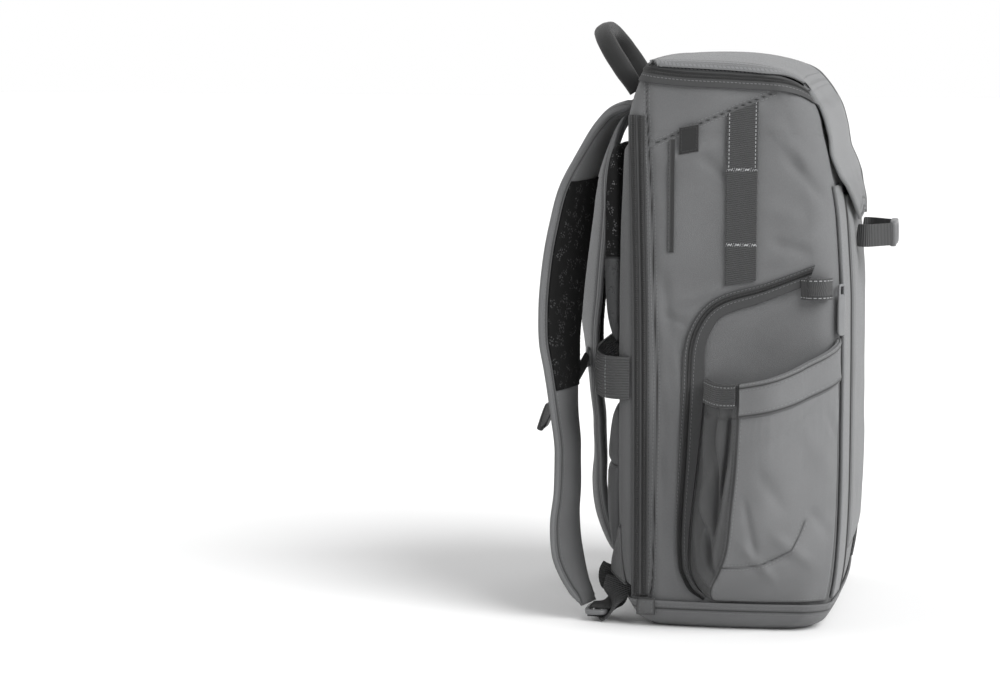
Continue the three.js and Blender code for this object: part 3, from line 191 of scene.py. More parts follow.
# ---------------------------------------------------------------- the body's surface
SECTIONS = table("at half front back", [
    [0.0, 0.9, 0.74, 0.7],
    [0.01, 0.955, 0.82, 0.77],
    [0.03, 0.985, 0.885, 0.84],
    [0.075, 1.0, 0.945, 0.93],
    [0.125, 1.0, 0.975, 0.97],
    [0.31, 1.0, 1.0, 0.99],
    [0.55, 1.0, 0.995, 0.99],
    [0.65, 0.995, 0.97, 0.985],
    [0.72, 0.985, 0.94, 0.98],
    [0.76, 0.98, 0.905, 0.975],
    [0.82, 0.97, 0.84, 0.96],
    [0.85, 0.96, 0.8, 0.94],
    [0.89, 0.95, 0.75, 0.915],
    [0.927, 0.94, 0.63, 0.86],
    [0.96, 0.93, 0.48, 0.78],
    [1.0, 0.92, 0.36, 0.68],
])
RIM = table("at height", [
    [-0.8, 0.862],
    [-0.745, 0.878],
    [-0.7, 0.892],
    [-0.65, 0.911],
    [-0.56, 0.929],
    [-0.4, 0.944],
    [0.0, 0.953],
    [0.45, 0.958],
    [0.8, 0.966],
    [1.0, 0.97],
])
PARTING = table("at share", [
    [0.0, 0.775],
    [0.55, 0.787],
    [0.7, 0.806],
    [0.78, 0.818],
    [0.87, 0.833],
])


def section(z):
    """The body's half width, front reach and rear reach at a height, from the table's shares."""
    at = z / BODY_HEIGHT
    half = BODY_WIDTH / 2 * read(SECTIONS, "half", at)
    front = FRONT_REACH * read(SECTIONS, "front", at) - FRONT_CROWN
    return half, front, BACK_REACH * read(SECTIONS, "back", at)


def skin(turn, z):
    """The body's right-hand skin. The turn runs from 0 at the middle of the back by the rounded
    rear corner (1 to 2), the bowed side (2 to 3) and the front corner (3 to 4) to 5 in front."""
    turn, z = np.broadcast_arrays(np.asarray(turn, float), np.asarray(z, float))
    half, front, back = section(z)
    flat_front, flat_back = half - FRONT_CORNER, half - REAR_CORNER
    rear = (np.clip(turn, 1, 2) - 1) * math.pi / 2
    fore = (np.clip(turn, 3, 4) - 3) * math.pi / 2
    t, e = turn - 2, turn - 4
    zones = [turn <= 1, turn <= 2, turn <= 3, turn <= 4]
    x = np.select(zones, [
        flat_back * turn,
        flat_back + REAR_CORNER * np.sin(rear),
        half + 4 * SIDE_BULGE * t * (1 - t),
        flat_front + FRONT_CORNER * np.cos(fore),
    ], flat_front * (1 - e))
    y = np.select(zones, [
        back,
        back - REAR_CORNER * (1 - np.cos(rear)),
        mix(back - REAR_CORNER, FRONT_CORNER - front, t),
        FRONT_CORNER * (1 - np.sin(fore)) - front,
    ], -front - FRONT_CROWN * e * (2 - e))
    return np.stack([x, y, z], -1)


def side_turn(y, z):
    """The turn that holds a place (y, z) of the bag's side."""
    _, front, back = section(z)
    rear_end, front_end = back - REAR_CORNER, FRONT_CORNER - front
    quarter = math.pi / 2
    rear = 1 + np.arccos(np.clip((y - rear_end) / REAR_CORNER, 0, 1)) / quarter
    fore = 3 + np.arcsin(np.clip((front_end - y) / FRONT_CORNER, 0, 1)) / quarter
    return np.select([y > rear_end, y < front_end], [rear, fore],
                     2 + (rear_end - y) / (rear_end - front_end))


def front_turn(x, z):
    """The turn that holds a place (x, z) of the bag's front."""
    flat = section(z)[0] - FRONT_CORNER
    corner = 3 + np.arccos(np.clip((x - flat) / FRONT_CORNER, 0, 1)) / (math.pi / 2)
    return np.where(x <= flat, 5 - x / flat, corner)


def skin_at(turn, z, lift, side):
    """A skin point moved out along the skin's normal by lift, on the given side."""
    small = 1e-3
    around = skin(turn + small, z) - skin(turn - small, z)
    up = skin(turn, z + small) - skin(turn, z - small)
    normal = unit(np.cross(up, around))
    place = skin(turn, z)
    outwards = np.sign((normal[..., :2] * place[..., :2]).sum(-1, keepdims=True))
    place = place + normal * outwards * np.asarray(lift)[..., None]
    return place * np.stack(np.broadcast_arrays(side, 1, 1), -1)


def on_side(y, z, lift, side):
    """A place (y, z) of the bag's side, moved out by lift."""
    return skin_at(side_turn(y, z), z, lift, side)


def on_front(x, z, lift):
    """A place (x, z) of the bag's front, moved out by lift."""
    return skin_at(front_turn(abs(x), z), z, lift, np.where(x < 0, -1, 1))


def rim_height(turn):
    """Where the skin meets the rim's line: halves the span from 0.8 of the height to the top."""
    low = np.full(np.shape(turn), 0.8 * BODY_HEIGHT)
    high = np.full(np.shape(turn), 1.0 * BODY_HEIGHT)
    for _ in range(24):
        z = (low + high) / 2
        below = z < BODY_HEIGHT * read(RIM, "height", skin(turn, z)[..., 1] / BACK_REACH)
        low, high = np.where(below, z, low), np.where(below, high, z)
    return (low + high) / 2


def parting(z):
    """How far back the rear door parts from the sides at a height."""
    return BACK_REACH * read(PARTING, "share", z / BODY_HEIGHT)


# ---------------------------------------------------------------- meshes
def grid_faces(rows, columns, wraps=False):
    """Four-cornered faces between the rows and columns of a grid of points."""
    r = np.arange(rows - 1)[:, None]
    c = np.arange(columns if wraps else columns - 1)[None]
    nxt = (c + 1) % columns
    corners = [r * columns + c, r * columns + nxt, (r + 1) * columns + nxt, (r + 1) * columns + c]
    return np.stack([np.broadcast_to(k, (rows - 1, c.size)) for k in corners], -1).reshape(-1, 4)


def volume(points, quads, caps):
    """Six times the signed volume, by the divergence of each face's fan of triangles."""
    a, b, c, d = (points[quads[:, i]] for i in range(4))
    total = (np.cross(b, c) * a).sum() + (np.cross(c, d) * a).sum()
    for cap in caps:
        ring = points[cap]
        total += (np.cross(ring[1:-1], ring[2:]) * ring[0]).sum()
    return total


def put(name, points, quads, caps, finish, layers=None, uv=None, slot=None, replaces=()):
    """Turns points in millimetres into a smooth mesh in metres that faces outwards, with its UV
    map in metres of cloth and its named values, and lets it ride on the bag."""
    if volume(points, quads, caps) < 0:
        quads, caps = quads[:, ::-1], [cap[::-1] for cap in caps]
    mesh = bpy.data.meshes.new(name)
    mesh.from_pydata((points * MM).tolist(), [], quads.tolist() + [list(map(int, c)) for c in caps])
    values = {"tone": 1.0, "seam": 99.0, "run": 0.0} | (layers or {})
    for key, value in values.items():
        data = np.broadcast_to(np.asarray(value, np.float32).ravel(), len(points))
        mesh.attributes.new(key, "FLOAT", "POINT").data.foreach_set("value", data.copy())
    if uv is None:
        uv = points[:, 1:] if np.ptp(points[:, 0]) < np.ptp(points[:, 1]) else points[:, ::2]
    corner = np.empty(len(mesh.loops), np.int32)
    mesh.loops.foreach_get("vertex_index", corner)
    mesh.uv_layers.new(name="cloth").data.foreach_set("uv", (uv[corner] * MM).ravel())
    mesh.polygons.foreach_set("use_smooth", np.ones(len(mesh.polygons), bool))
    mesh.materials.append(finish)
    mesh.validate()
    piece = bpy.data.objects.new(name, mesh)
    bpy.context.scene.collection.objects.link(piece)
    if replaces:
        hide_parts(*replaces)
    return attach(piece, "root")


def grid_normals(points, away):
    """Unit normals of a grid by the differences along its rows and columns, turned to agree
    with away, a grid or a single direction."""
    normal = unit(np.cross(np.gradient(points, axis=1), np.gradient(points, axis=0)))
    flip = np.sign((normal * away).sum(-1, keepdims=True))
    return normal * np.where(flip == 0, 1, flip)


def outward(points):
    """Directions away from the bag's upright axis."""
    return points * np.array([1.0, 1.0, 0.0])


def arc(points, axis):
    """How far each point of a grid lies along its rows or columns."""
    step = np.linalg.norm(np.diff(points, axis=axis), axis=-1)
    return np.concatenate([np.zeros_like(np.take(step, [0], axis)), step.cumsum(axis)], axis)


def cloth(name, outer, inner, finish, layers=None, **rest):
    """A closed sheet: two grids of points joined round their edges."""
    rows, columns = outer.shape[:2]
    count = rows * columns
    faces = grid_faces(rows, columns)
    index = np.arange(count).reshape(rows, columns)
    edge = np.concatenate([index[0, :-1], index[:-1, -1], index[-1, :0:-1], index[:0:-1, 0]])
    after = np.roll(edge, -1)
    walls = np.stack([after, edge, edge + count, after + count], -1)
    quads = np.concatenate([faces, faces[:, [0, 3, 2, 1]] + count, walls])
    points = np.concatenate([outer.reshape(-1, 3), inner.reshape(-1, 3)])
    layers = {k: np.tile(np.broadcast_to(v, (rows, columns)).ravel(), 2)
              for k, v in (layers or {}).items()}
    uv = np.tile(np.stack([arc(outer, 1), arc(outer, 0)], -1).reshape(-1, 2), (2, 1))
    return put(name, points, quads, [], finish, layers, uv, **rest)


def laid(name, place, us, vs, lift, thick, finish, layers=None, **rest):
    """Cloth on a surface place(u, v): its faces lie lift and lift + thick off the surface."""
    u, v = np.meshgrid(us, vs)
    base = place(u, v)
    normal = grid_normals(base, outward(base))
    lift = lift(u, v) if callable(lift) else lift
    thick = thick(u, v) if callable(thick) else thick
    inner = base + normal * np.asarray(lift)[..., None]
    outer = inner + normal * np.asarray(thick)[..., None]
    layers = layers(u, v, outer) if callable(layers) else layers
    return cloth(name, outer, inner, finish, layers, **rest)


def tube(name, rings, finish, closed=False, **rest):
    """A closed body through rings of points, capped at its ends unless it closes on itself."""
    rows, columns = rings.shape[:2]
    quads = grid_faces(rows, columns, True)
    caps = []
    if closed:
        last, first = (rows - 1) * columns, np.arange(columns)
        nxt = (first + 1) % columns
        quads = np.concatenate([quads, np.stack([last + first, last + nxt, nxt, first], -1)])
    else:
        caps = [np.arange(columns)[::-1], np.arange(columns) + (rows - 1) * columns]
    around = np.linalg.norm(rings - np.roll(rings, 1, 1), axis=-1).cumsum(1)
    along = arc(rings, 0).mean(1, keepdims=True) + 0 * around
    uv = np.stack([around, along], -1).reshape(-1, 2)
    return put(name, rings.reshape(-1, 3), quads, caps, finish, uv=uv, **rest)


def spline(points, count):
    """Points evenly along a Catmull-Rom curve through the given ones."""
    p = np.asarray(points, float)
    p = np.concatenate([2 * p[:1] - p[1:2], p, 2 * p[-1:] - p[-2:-1]])
    t = np.linspace(0, len(p) - 3 - 1e-9, 40 * len(p))
    i = t.astype(int)
    f = (t - i)[:, None]
    a, b, c, d = (p[i + k] for k in range(4))
    fine = 0.5 * (2 * b + (c - a) * f + (2 * a - 5 * b + 4 * c - d) * f**2
                  + (3 * b - a - 3 * c + d) * f**3)
    length = np.concatenate([[0], np.linalg.norm(np.diff(fine, axis=0), axis=1).cumsum()])
    even = np.linspace(0, length[-1], count)
    return np.stack([np.interp(even, length, fine[:, k]) for k in range(3)], -1)


def outline(width, thick, power=2.0, count=24):
    """A superellipse: cos and sin of the angle, each raised to 2 / power with its sign kept."""
    a = np.linspace(0, 2 * math.pi, count, endpoint=False)
    curve = [np.sign(f) * abs(f) ** (2 / power) for f in (np.cos(a), np.sin(a))]
    return np.stack([curve[0] * width / 2, curve[1] * thick / 2], -1)


def carried(path, profile, wide, scale=1.0, closed=False):
    """Rings of a profile carried along a path, its width kept towards the direction wide."""
    ends = np.concatenate([path[-1:], path, path[:1]]) if closed else path
    tangent = unit(np.gradient(ends, axis=0))
    tangent = tangent[1:-1] if closed else tangent
    wide = np.broadcast_to(np.asarray(wide, float), path.shape)
    normal = unit(np.cross(tangent, wide))
    across = unit(np.cross(normal, tangent))
    scale = np.broadcast_to(np.asarray(scale, float).reshape(-1, 1, 1), (len(path), 1, 1))
    flat = profile[None, :, :] * scale
    return path[:, None] + flat[..., :1] * across[:, None] + flat[..., 1:] * normal[:, None]


def rounded_ends(count, ends):
    """Scales that round a carried profile off over its first and last few rings."""
    t = np.arange(count)
    near = np.minimum(t, count - 1 - t) / ends
    return np.sqrt(np.clip(1 - (1 - np.clip(near, 0, 1)) ** 2, 0.02, 1))


# ---------------------------------------------------------------- finishes
class Signal:
    """A shader socket that adds Math nodes where it is used in an expression."""

    def __init__(self, finish, socket):
        self.finish, self.socket = finish, socket

    def math(self, operation, *values, clamp=False):
        """A Math node of the given operation."""
        settings = {"operation": operation, "use_clamp": clamp}
        return self.finish.node("ShaderNodeMath", settings, *values)

    def __add__(self, other):
        return self.math("ADD", self, other)

    def __sub__(self, other):
        return self.math("SUBTRACT", self, other)

    def __rsub__(self, other):
        return self.math("SUBTRACT", other, self)

    def __mul__(self, other):
        return self.math("MULTIPLY", self, other)

    def __truediv__(self, other):
        return self.math("DIVIDE", self, other)

    __radd__, __rmul__ = __add__, __mul__

    def clamp(self):
        return self.math("ADD", self, 0.0, clamp=True)

    def abs(self):
        return self.math("ABSOLUTE", self)

    def wave(self, period):
        """Swings from -1 to 1 once in each period."""
        return self.math("SINE", self * (2 * math.pi / period))

    def below(self, limit, soft):
        """1 under the limit and 0 over it, with a soft step."""
        return ((limit - self) / soft + 0.5).clamp()

    def dashes(self, period, share):
        """1 over the first share of each period, else 0."""
        return self.math("LESS_THAN", self.math("FRACT", self / period), share)


class Finish:
    """One procedural material."""

    def __init__(self, name):
        self.material = bpy.data.materials.new(name)
        self.material.use_nodes = True
        self.tree = self.material.node_tree
        self.tree.nodes.clear()

    def node(self, kind, settings, *values, out=0, by_index=None, **named):
        """Adds a node: its settings first, then its inputs in order, by name or by number."""
        made = self.tree.nodes.new(kind)
        for key, value in settings.items():
            setattr(made, key, value)
        links = list(zip(made.inputs, values))
        links += [(made.inputs[key if isinstance(key, int) else key.replace("_", " ")], value)
                  for key, value in (named | (by_index or {})).items()]
        for socket, value in links:
            if isinstance(value, Signal):
                self.tree.links.new(value.socket, socket)
            elif value is not None:
                socket.default_value = value
        return Signal(self, made.outputs[out]) if made.outputs else None

    def cloth_place(self):
        """Across and along the cloth, in millimetres."""
        uv = self.node("ShaderNodeUVMap", {"uv_map": "cloth"})
        return [self.axis(uv, k) * 1000 for k in (0, 1)]

    def axis(self, vector, k):
        """One number of a vector."""
        return self.node("ShaderNodeSeparateXYZ", {}, vector, out=k)

    def place(self):
        """The place on the object, which sits at the origin."""
        return self.node("ShaderNodeTexCoord", {}, out="Object")

    def value(self, name):
        """A named value of the mesh."""
        return self.node("ShaderNodeAttribute", {"attribute_name": name}, out="Fac")

    def noise(self, scale, detail=2.0, roughness=0.5):
        """Soft noise with the given number of waves to the metre."""
        return self.node("ShaderNodeTexNoise", {}, Vector=self.place(), Scale=scale,
                         Detail=detail, Roughness=roughness)

    def cells(self, scale):
        """The distance from the nearest of scattered points, so many to the metre."""
        return self.node("ShaderNodeTexVoronoi", {}, Vector=self.place(), Scale=scale)

    def colour(self, mask, a, b):
        """The colour a where the mask is 0 and b where it is 1."""
        return self.node("ShaderNodeMix", {"data_type": "RGBA"}, mask, out=2,
                         by_index={6: a, 7: b})

    def shaded(self, colour, strength):
        """A colour made lighter or darker by a number."""
        if not isinstance(colour, Signal):
            colour = self.colour(0.0, colour, colour)
        return self.node("ShaderNodeVectorMath", {"operation": "SCALE"}, colour, Scale=strength)

    def done(self, colour, height, depth, roughness, **fixed):
        """Ends the finish: its height becomes a bump so many millimetres deep."""
        bump = self.node("ShaderNodeBump", {}, Height=height, Distance=depth * MM, Strength=1.0)
        shader = self.node("ShaderNodeBsdfPrincipled", {}, Base_Color=colour,
                           Roughness=roughness, Normal=bump, **fixed)
        self.node("ShaderNodeOutputMaterial", {}, shader)
        return self.material


def grey(level):
    """A nearly neutral colour from an sRGB level of 0 to 255, a little cool."""
    linear = ((level / 255 + 0.055) / 1.055) ** 2.4
    return (linear * 0.985, linear, linear * 1.02, 1.0)


def woven(name, level, thread=0.8, rough=0.82, mottle=0.1, stitch=1.35, sheen=0.15):
    """Plain weave: two crossed sine threads, mottled tone, pale stitches at each seam, and painted
    shade in the dip at each seam and in a band beside it."""
    f = Finish(name)
    u, v = f.cloth_place()
    tone, seam, run = f.value("tone"), f.value("seam"), f.value("run")
    weave = u.wave(thread) * v.wave(thread)
    fleck, cloud = f.noise(900.0, 3.0, 0.7), f.noise(22.0, 3.0)
    light = tone * (1 + (fleck - 0.5) * mottle * 3.2 + (cloud - 0.5) * mottle * 1.6)
    light = light * (1 + weave * 0.05)
    # Painted shade: the dip at each seam, which the bump presses in, is darkened, and a wider band
    # beside it a little.
    crease_and_shade = seam.below(0.75, 0.6)
    thread_line = (seam - 2.4).abs().below(0.36, 0.25) * run.dashes(3.4, 0.66)
    shade = seam.below(2.2, 3.0)
    light = light * (1 - crease_and_shade * 0.74) * (1 - shade * 0.2) * (1 + thread_line * (stitch - 1))
    height = weave * 0.35 + fleck * 0.9 + thread_line * 1.6 - crease_and_shade * 2.5
    return f.done(f.shaded(grey(level), light), height, 0.22, fleck * 0.12 + (rough - 0.06),
                  Sheen_Weight=sheen, Sheen_Roughness=0.5)


def ribbed_webbing(name, level, rib=1.7):
    """Webbing: ribs across its length, thinner threads along it, and fine flecks."""
    f = Finish(name)
    u, v = f.cloth_place()
    tone = f.value("tone")
    ribs, threads = v.wave(rib), u.wave(0.9)
    fleck = f.noise(1300.0, 2.0, 0.7)
    light = tone * (1 + ribs * 0.16 + threads * 0.05 + (fleck - 0.5) * 0.5)
    seam, run = f.value("seam"), f.value("run")
    stitches = seam.abs().below(0.42, 0.25) * run.dashes(3.2, 0.6)
    colour = f.colour(stitches, f.shaded(grey(level), light), grey(178))
    height = ribs * 0.9 + threads * 0.3 + fleck * 0.4 + stitches * 1.2
    return f.done(colour, height, 0.3, fleck * 0.1 + 0.73, Sheen_Weight=0.1)


def zip_band(name, tape=60, coil=28):
    """Zip tape with fine ribs and toothed coils. The value seam is the distance from the nearest
    coil, and run goes along it."""
    f = Finish(name)
    u, v = f.cloth_place()
    seam, run, tone = f.value("seam"), f.value("run"), f.value("tone")
    fleck = f.noise(1100.0, 2.0, 0.7)
    teeth = seam.below(1.3, 0.5)
    bite = run.wave(1.5)
    light = tone * (1 + u.wave(0.9) * 0.05 + (fleck - 0.5) * 0.35)
    # A groove beside each coil, pressed in by the bump and darkened as painted shade.
    groove_and_shade = (seam - 1.9).abs().below(0.35, 0.3)
    stitches = (seam - 4.2).abs().below(0.3, 0.25) * run.dashes(3.2, 0.62)
    colour = f.colour(teeth, f.shaded(grey(tape), light), f.shaded(grey(coil), 1 + bite * 0.5))
    colour = f.colour(stitches, colour, grey(112))
    colour = f.shaded(colour, 1 - groove_and_shade * 0.55)
    height = teeth * (bite * 0.7 + 1.4) + fleck * 0.3 - groove_and_shade + stitches
    return f.done(colour, height, 0.35, 0.72 - teeth * 0.22)


def air_mesh(name, level=21, lower=None):
    """Knitted spacer mesh: round dimples in rows. Below a slanting line it may turn to plain
    cloth, with painted shade in the seam between them."""
    f = Finish(name)
    holes = f.cells(520.0)
    clusters = f.cells(115.0)
    fleck, cloud = f.noise(1500.0, 2.0, 0.8), f.noise(60.0, 2.0)
    dots = holes.below(0.36, 0.14) * clusters.below(0.44, 0.12)
    light = 0.75 + (fleck - 0.5) * 0.8 + (cloud - 0.5) * 0.5 + dots * (11 + fleck * 16)
    colour = f.shaded(grey(level), light)
    height = fleck * 0.5 - dots * 1.6
    rough = fleck * 0.1 + 0.82
    if lower:
        x, z = f.axis(f.place(), 0).abs() * 1000, f.axis(f.place(), 2) * 1000
        over = z - (lower["line"] + x * lower["slant"])
        plain = f.shaded(grey(lower["level"]), 1 + (fleck - 0.5) * 0.4)
        colour = f.colour(over.below(0.0, 0.8), colour, plain)
        # Painted shade in the seam where the mesh meets the plain cloth, which the bump also
        # presses in.
        colour = f.shaded(colour, 1 - over.abs().below(0.9, 0.8) * 0.7)
        height = height - over.abs().below(1.2, 1.0) * 4
    return f.done(colour, height, 0.35, rough, Sheen_Weight=0.02, Specular_IOR_Level=0.3)


def moulded(name, level, rough=0.42, grain=0.5):
    """Moulded plastic: fine grain, paler on sharp edges, and slow tone changes."""
    f = Finish(name)
    fine, slow = f.noise(1600.0, 2.0, 0.6), f.noise(90.0, 2.0)
    sharpness = f.node("ShaderNodeNewGeometry", {}, out="Pointiness")
    edge = ((sharpness - 0.52) * 9).clamp()
    light = 1 + (fine - 0.5) * 0.25 + (slow - 0.5) * 0.3 + edge * 0.35
    return f.done(f.shaded(grey(level), light), fine * grain, 0.12, slow * 0.12 + (rough - 0.06))


FABRIC = woven("grey_fabric", 103, stitch=1.4, mottle=0.13)
PANEL_FABRIC = woven("panel_fabric", 113, stitch=1.25, mottle=0.09)
LID_FABRIC = woven("lid_fabric", 120, mottle=0.08, rough=0.78)
POCKET_FABRIC = woven("pocket_fabric", 109, rough=0.5, mottle=0.1, sheen=0.05)
DARK_FABRIC = woven("dark_fabric", 84, rough=0.7, mottle=0.12)
BASE_FABRIC = woven("base_fabric", 98, rough=0.7, mottle=0.12)
BLACK_FABRIC = woven("black_fabric", 24, rough=0.75, mottle=0.12, thread=1.1, stitch=2.4)
STRAP_FABRIC = woven("strap_fabric", 106, mottle=0.12)
DARK_ZIP = zip_band("dark_zip")
DARK_WEBBING = ribbed_webbing("dark_webbing", 62)
BLACK_WEBBING = ribbed_webbing("black_webbing", 36, rib=1.4)
GREY_WEBBING = ribbed_webbing("grey_webbing", 92)
BAND_RIBS = ribbed_webbing("band_ribs", 62, rib=2.2)
AIR_MESH = air_mesh("air_mesh", level=10)
CUSHION_MESH = air_mesh("cushion_mesh", lower={"line": 292, "slant": 0.12, "level": 84})
BLACK_PLASTIC = moulded("black_plastic", 40)
GREY_PLASTIC = moulded("grey_plastic", 104)
PALE_PLASTIC = moulded("pale_plastic", 116, rough=0.38)


# ---------------------------------------------------------------- body
RIGHT_TURNS = np.concatenate([
    np.linspace(0, 1, 24, endpoint=False),
    np.linspace(1, 2, 14, endpoint=False),
    np.linspace(2, 3, 72, endpoint=False),
    np.linspace(3, 4, 22, endpoint=False),
    np.linspace(4, 5, 24),
])
RING_TURN = np.concatenate([RIGHT_TURNS, RIGHT_TURNS[-2:0:-1]])
RING_SIDE = np.concatenate([np.ones(len(RIGHT_TURNS)), -np.ones(len(RIGHT_TURNS) - 2)])
RIM_START = 0.82 * BODY_HEIGHT

REAR_SEAM = [(68, 10), (64, 40), (62, 123), (61, 206), (63.8, 272), (66, 340), (69, 388),
             (72, 430), (73, 470)]
YOKE_SEAM = [(66, 400), (40, 411.5), (0, 429), (-33, 443)]
SIDE_FOLDS = [
    (60, 386, 8, 402, 4, 1.6),
    (58, 300, 50, 240, 5, -2.3),
    (30, 392, -2, 372, 5, -2.2),
    (-30, 300, -72, 330, 6, 1.7),
    (-28, 420, -66, 380, 6, 1.7),
    (-40, 395, -80, 350, 5, -2.3),
    (-20, 350, -60, 340, 8, 1.6),
    (-30, 322, -66, 312, 5, -1.9),
    (8, 285, 44, 270, 4, 1.6),
    (56, 200, 52, 110, 4, -2.3),
    (60, 160, 57, 60, 4, 1.6),
    (-30, 270, -76, 292, 4, -2.2),
    (58, 262, 34, 252, 3, -1.7),
    (48, 240, 38, 170, 5, 1.6),
    (-50, 440, -20, 432, 5, -1.7),
]


def make_body_shell():
    """The tub: its skin moves in and out by seams, folds and soft waves, dips in under the rear
    door, and its inner wall follows five millimetres inside."""
    floor = TRAY_WALL + CLEARANCE
    upright = np.linspace(floor, RIM_START, 132)[:, None] + 0 * RING_TURN
    rise = np.linspace(0, 1, 26)[1:, None]
    z = np.concatenate([upright, mix(RIM_START, rim_height(RING_TURN)[None], rise)])
    turn, side = np.broadcast_arrays(RING_TURN[None], RING_SIDE[None] + 0 * z)
    turn = turn + 0 * z
    y = skin(turn, z)[..., 1]
    seam, run = seam_lines(y, z, [REAR_SEAM, YOKE_SEAM])
    on_the_side = smooth(1.2, 1.7, turn) * smooth(3.9, 3.5, turn)
    seam = np.where(on_the_side > 0.05, seam, 99)
    lift = -1.5 * bell(seam, 0, 4.0) + creases(y, z, SIDE_FOLDS) * on_the_side
    lift = lift + (1.1 * ripple(y, z, 3, 60) - 0.5) * on_the_side * np.where(side < 0, 1, 0.9)
    lift = lift - CLEARANCE * smooth(10, 3, z)
    outer = skin_at(turn, z, np.minimum(lift, 1.2) - 0.2, side)
    window = (z > DOOR_BOTTOM - 1) & (z < DOOR_TOP + 1)
    outer[..., 1] = np.where(window, np.minimum(outer[..., 1], parting(z) - 1.0), outer[..., 1])
    rows = np.r_[0, 2:132:10, 131, 140, 148, 156]
    inner_z = np.maximum(z[rows], floor + BODY_WALL)
    inner = skin_at(turn[rows], inner_z, -BODY_WALL + 0 * inner_z, side[rows])
    inner[..., 1] = np.where(window[rows], np.minimum(inner[..., 1], parting(inner_z) - 4),
                             inner[..., 1])
    # Painted light and shade: the tone is darker towards the bottom and the rear and lighter
    # towards the front, where the key light falls; its ripple is a random tone.
    tone = 1 - 0.1 * smooth(90, 30, z) + 0.12 * smooth(40, -80, y) - 0.06 * smooth(50, 75, y)
    tone = tone * (1 + 0.035 * ripple(y, z, 7, 60))
    tub("body_shell_cloth", outer, inner, FABRIC,
        {"seam": seam, "run": run, "tone": tone}, slot="fabric", replaces=["body_shell"])


def tub(name, outer, inner, finish, layers, **rest):
    """A closed tub: outer and inner rings from floor to rim, joined at the rim, with flat
    floors."""
    columns = outer.shape[1]
    start = outer.shape[0] * columns
    out_faces = grid_faces(*outer.shape[:2], True)
    in_faces = grid_faces(*inner.shape[:2], True)[:, [0, 3, 2, 1]] + start
    ring = np.arange(columns)
    nxt = (ring + 1) % columns
    top_out, top_in = start - columns, start + (len(inner) - 1) * columns
    walls = np.stack([top_out + ring, top_out + nxt, top_in + nxt, top_in + ring], -1)
    caps = [ring[::-1], ring + start]
    points = np.concatenate([outer.reshape(-1, 3), inner.reshape(-1, 3)])
    uv = np.stack([arc(outer, 1), outer[..., 2]], -1).reshape(-1, 2)
    uv = np.concatenate([uv, np.tile(uv[:columns], (len(inner), 1))])
    fill = {"seam": 99.0, "run": 0.0, "tone": 0.8}
    layers = {key: np.concatenate([np.asarray(value).ravel(),
                                   np.full(len(inner) * columns, fill[key])])
              for key, value in layers.items()}
    return put(name, points, np.concatenate([out_faces, in_faces, walls]), caps, finish, layers,
               uv, **rest)


def make_base_panel():
    """The tray: the body's skin moved out, with a rolled top edge."""
    def rings(lift, floor, count):
        z = np.linspace(floor, TRAY_HEIGHT, count)[:, None] + 0 * RING_TURN
        turn = RING_TURN + 0 * z
        bead = 0.5 * bell(z, TRAY_HEIGHT - 1.5, 1.6) if lift > 1 else 0 * z
        wave = 0.25 * ripple(turn * 60, z, 5, 50) * smooth(4, 12, z) if lift > 1 else 0 * z
        points = skin_at(turn, z, lift + bead + wave, RING_SIDE + 0 * z)
        points[..., 2] = z
        return points
    outer = rings(CLEARANCE + TRAY_WALL, 0, 22)
    inner = rings(CLEARANCE, TRAY_WALL, 8)
    z = outer[..., 2]
    tub("base_panel_cloth", outer, inner, BASE_FABRIC,
        {"seam": abs(z - 16.5), "run": arc(outer, 1), "tone": 1 + 0 * z},
        slot="dark_fabric", replaces=["base_panel"])


def make_back_panel():
    """The rear door: the body's back between the parting lines, with a quilted border."""
    v = np.linspace(0, 1, 130)
    z = mix(DOOR_BOTTOM + CLEARANCE, DOOR_TOP - CLEARANCE, v)[:, None]
    u = np.linspace(-1, 1, 120)[None]
    flange = parting(z) + CLEARANCE
    end = side_turn(flange, z)
    edge = skin(end, z)[..., 0]
    turn = np.where(abs(u) < 0.75, abs(u) / 0.75, mix(1, end, (abs(u) - 0.75) * 4))
    place = skin(turn, z + 0 * u) * np.stack(
        np.broadcast_arrays(np.where(u < 0, -1, 1), 1, 1), -1)
    soft = smooth(0, 0.03, v)[:, None] * smooth(1, 0.96, v)[:, None]
    depth = np.maximum(place[..., 1] - flange, CLEARANCE) * (0.3 + 0.7 * soft)
    lines = [[(-118, 30), (-118, 404)], [(118, 30), (118, 404)], [(-130, 404), (130, 404)],
             [(-130, 208), (130, 208)]]
    seam, run = seam_lines(place[..., 0], z + 0 * u, lines)
    depth = depth - 1.4 * bell(seam, 0, 5) + 0.4 * ripple(place[..., 0], z + 0 * u, 8, 60)
    outer = place.copy()
    outer[..., 1] = flange + np.maximum(depth, 0.6)
    inner = np.stack(np.broadcast_arrays(u * edge, flange, z), -1)
    cloth("back_panel_cloth", outer, inner, DARK_FABRIC, {"seam": seam, "run": run},
          slot="fabric", replaces=["back_panel"])


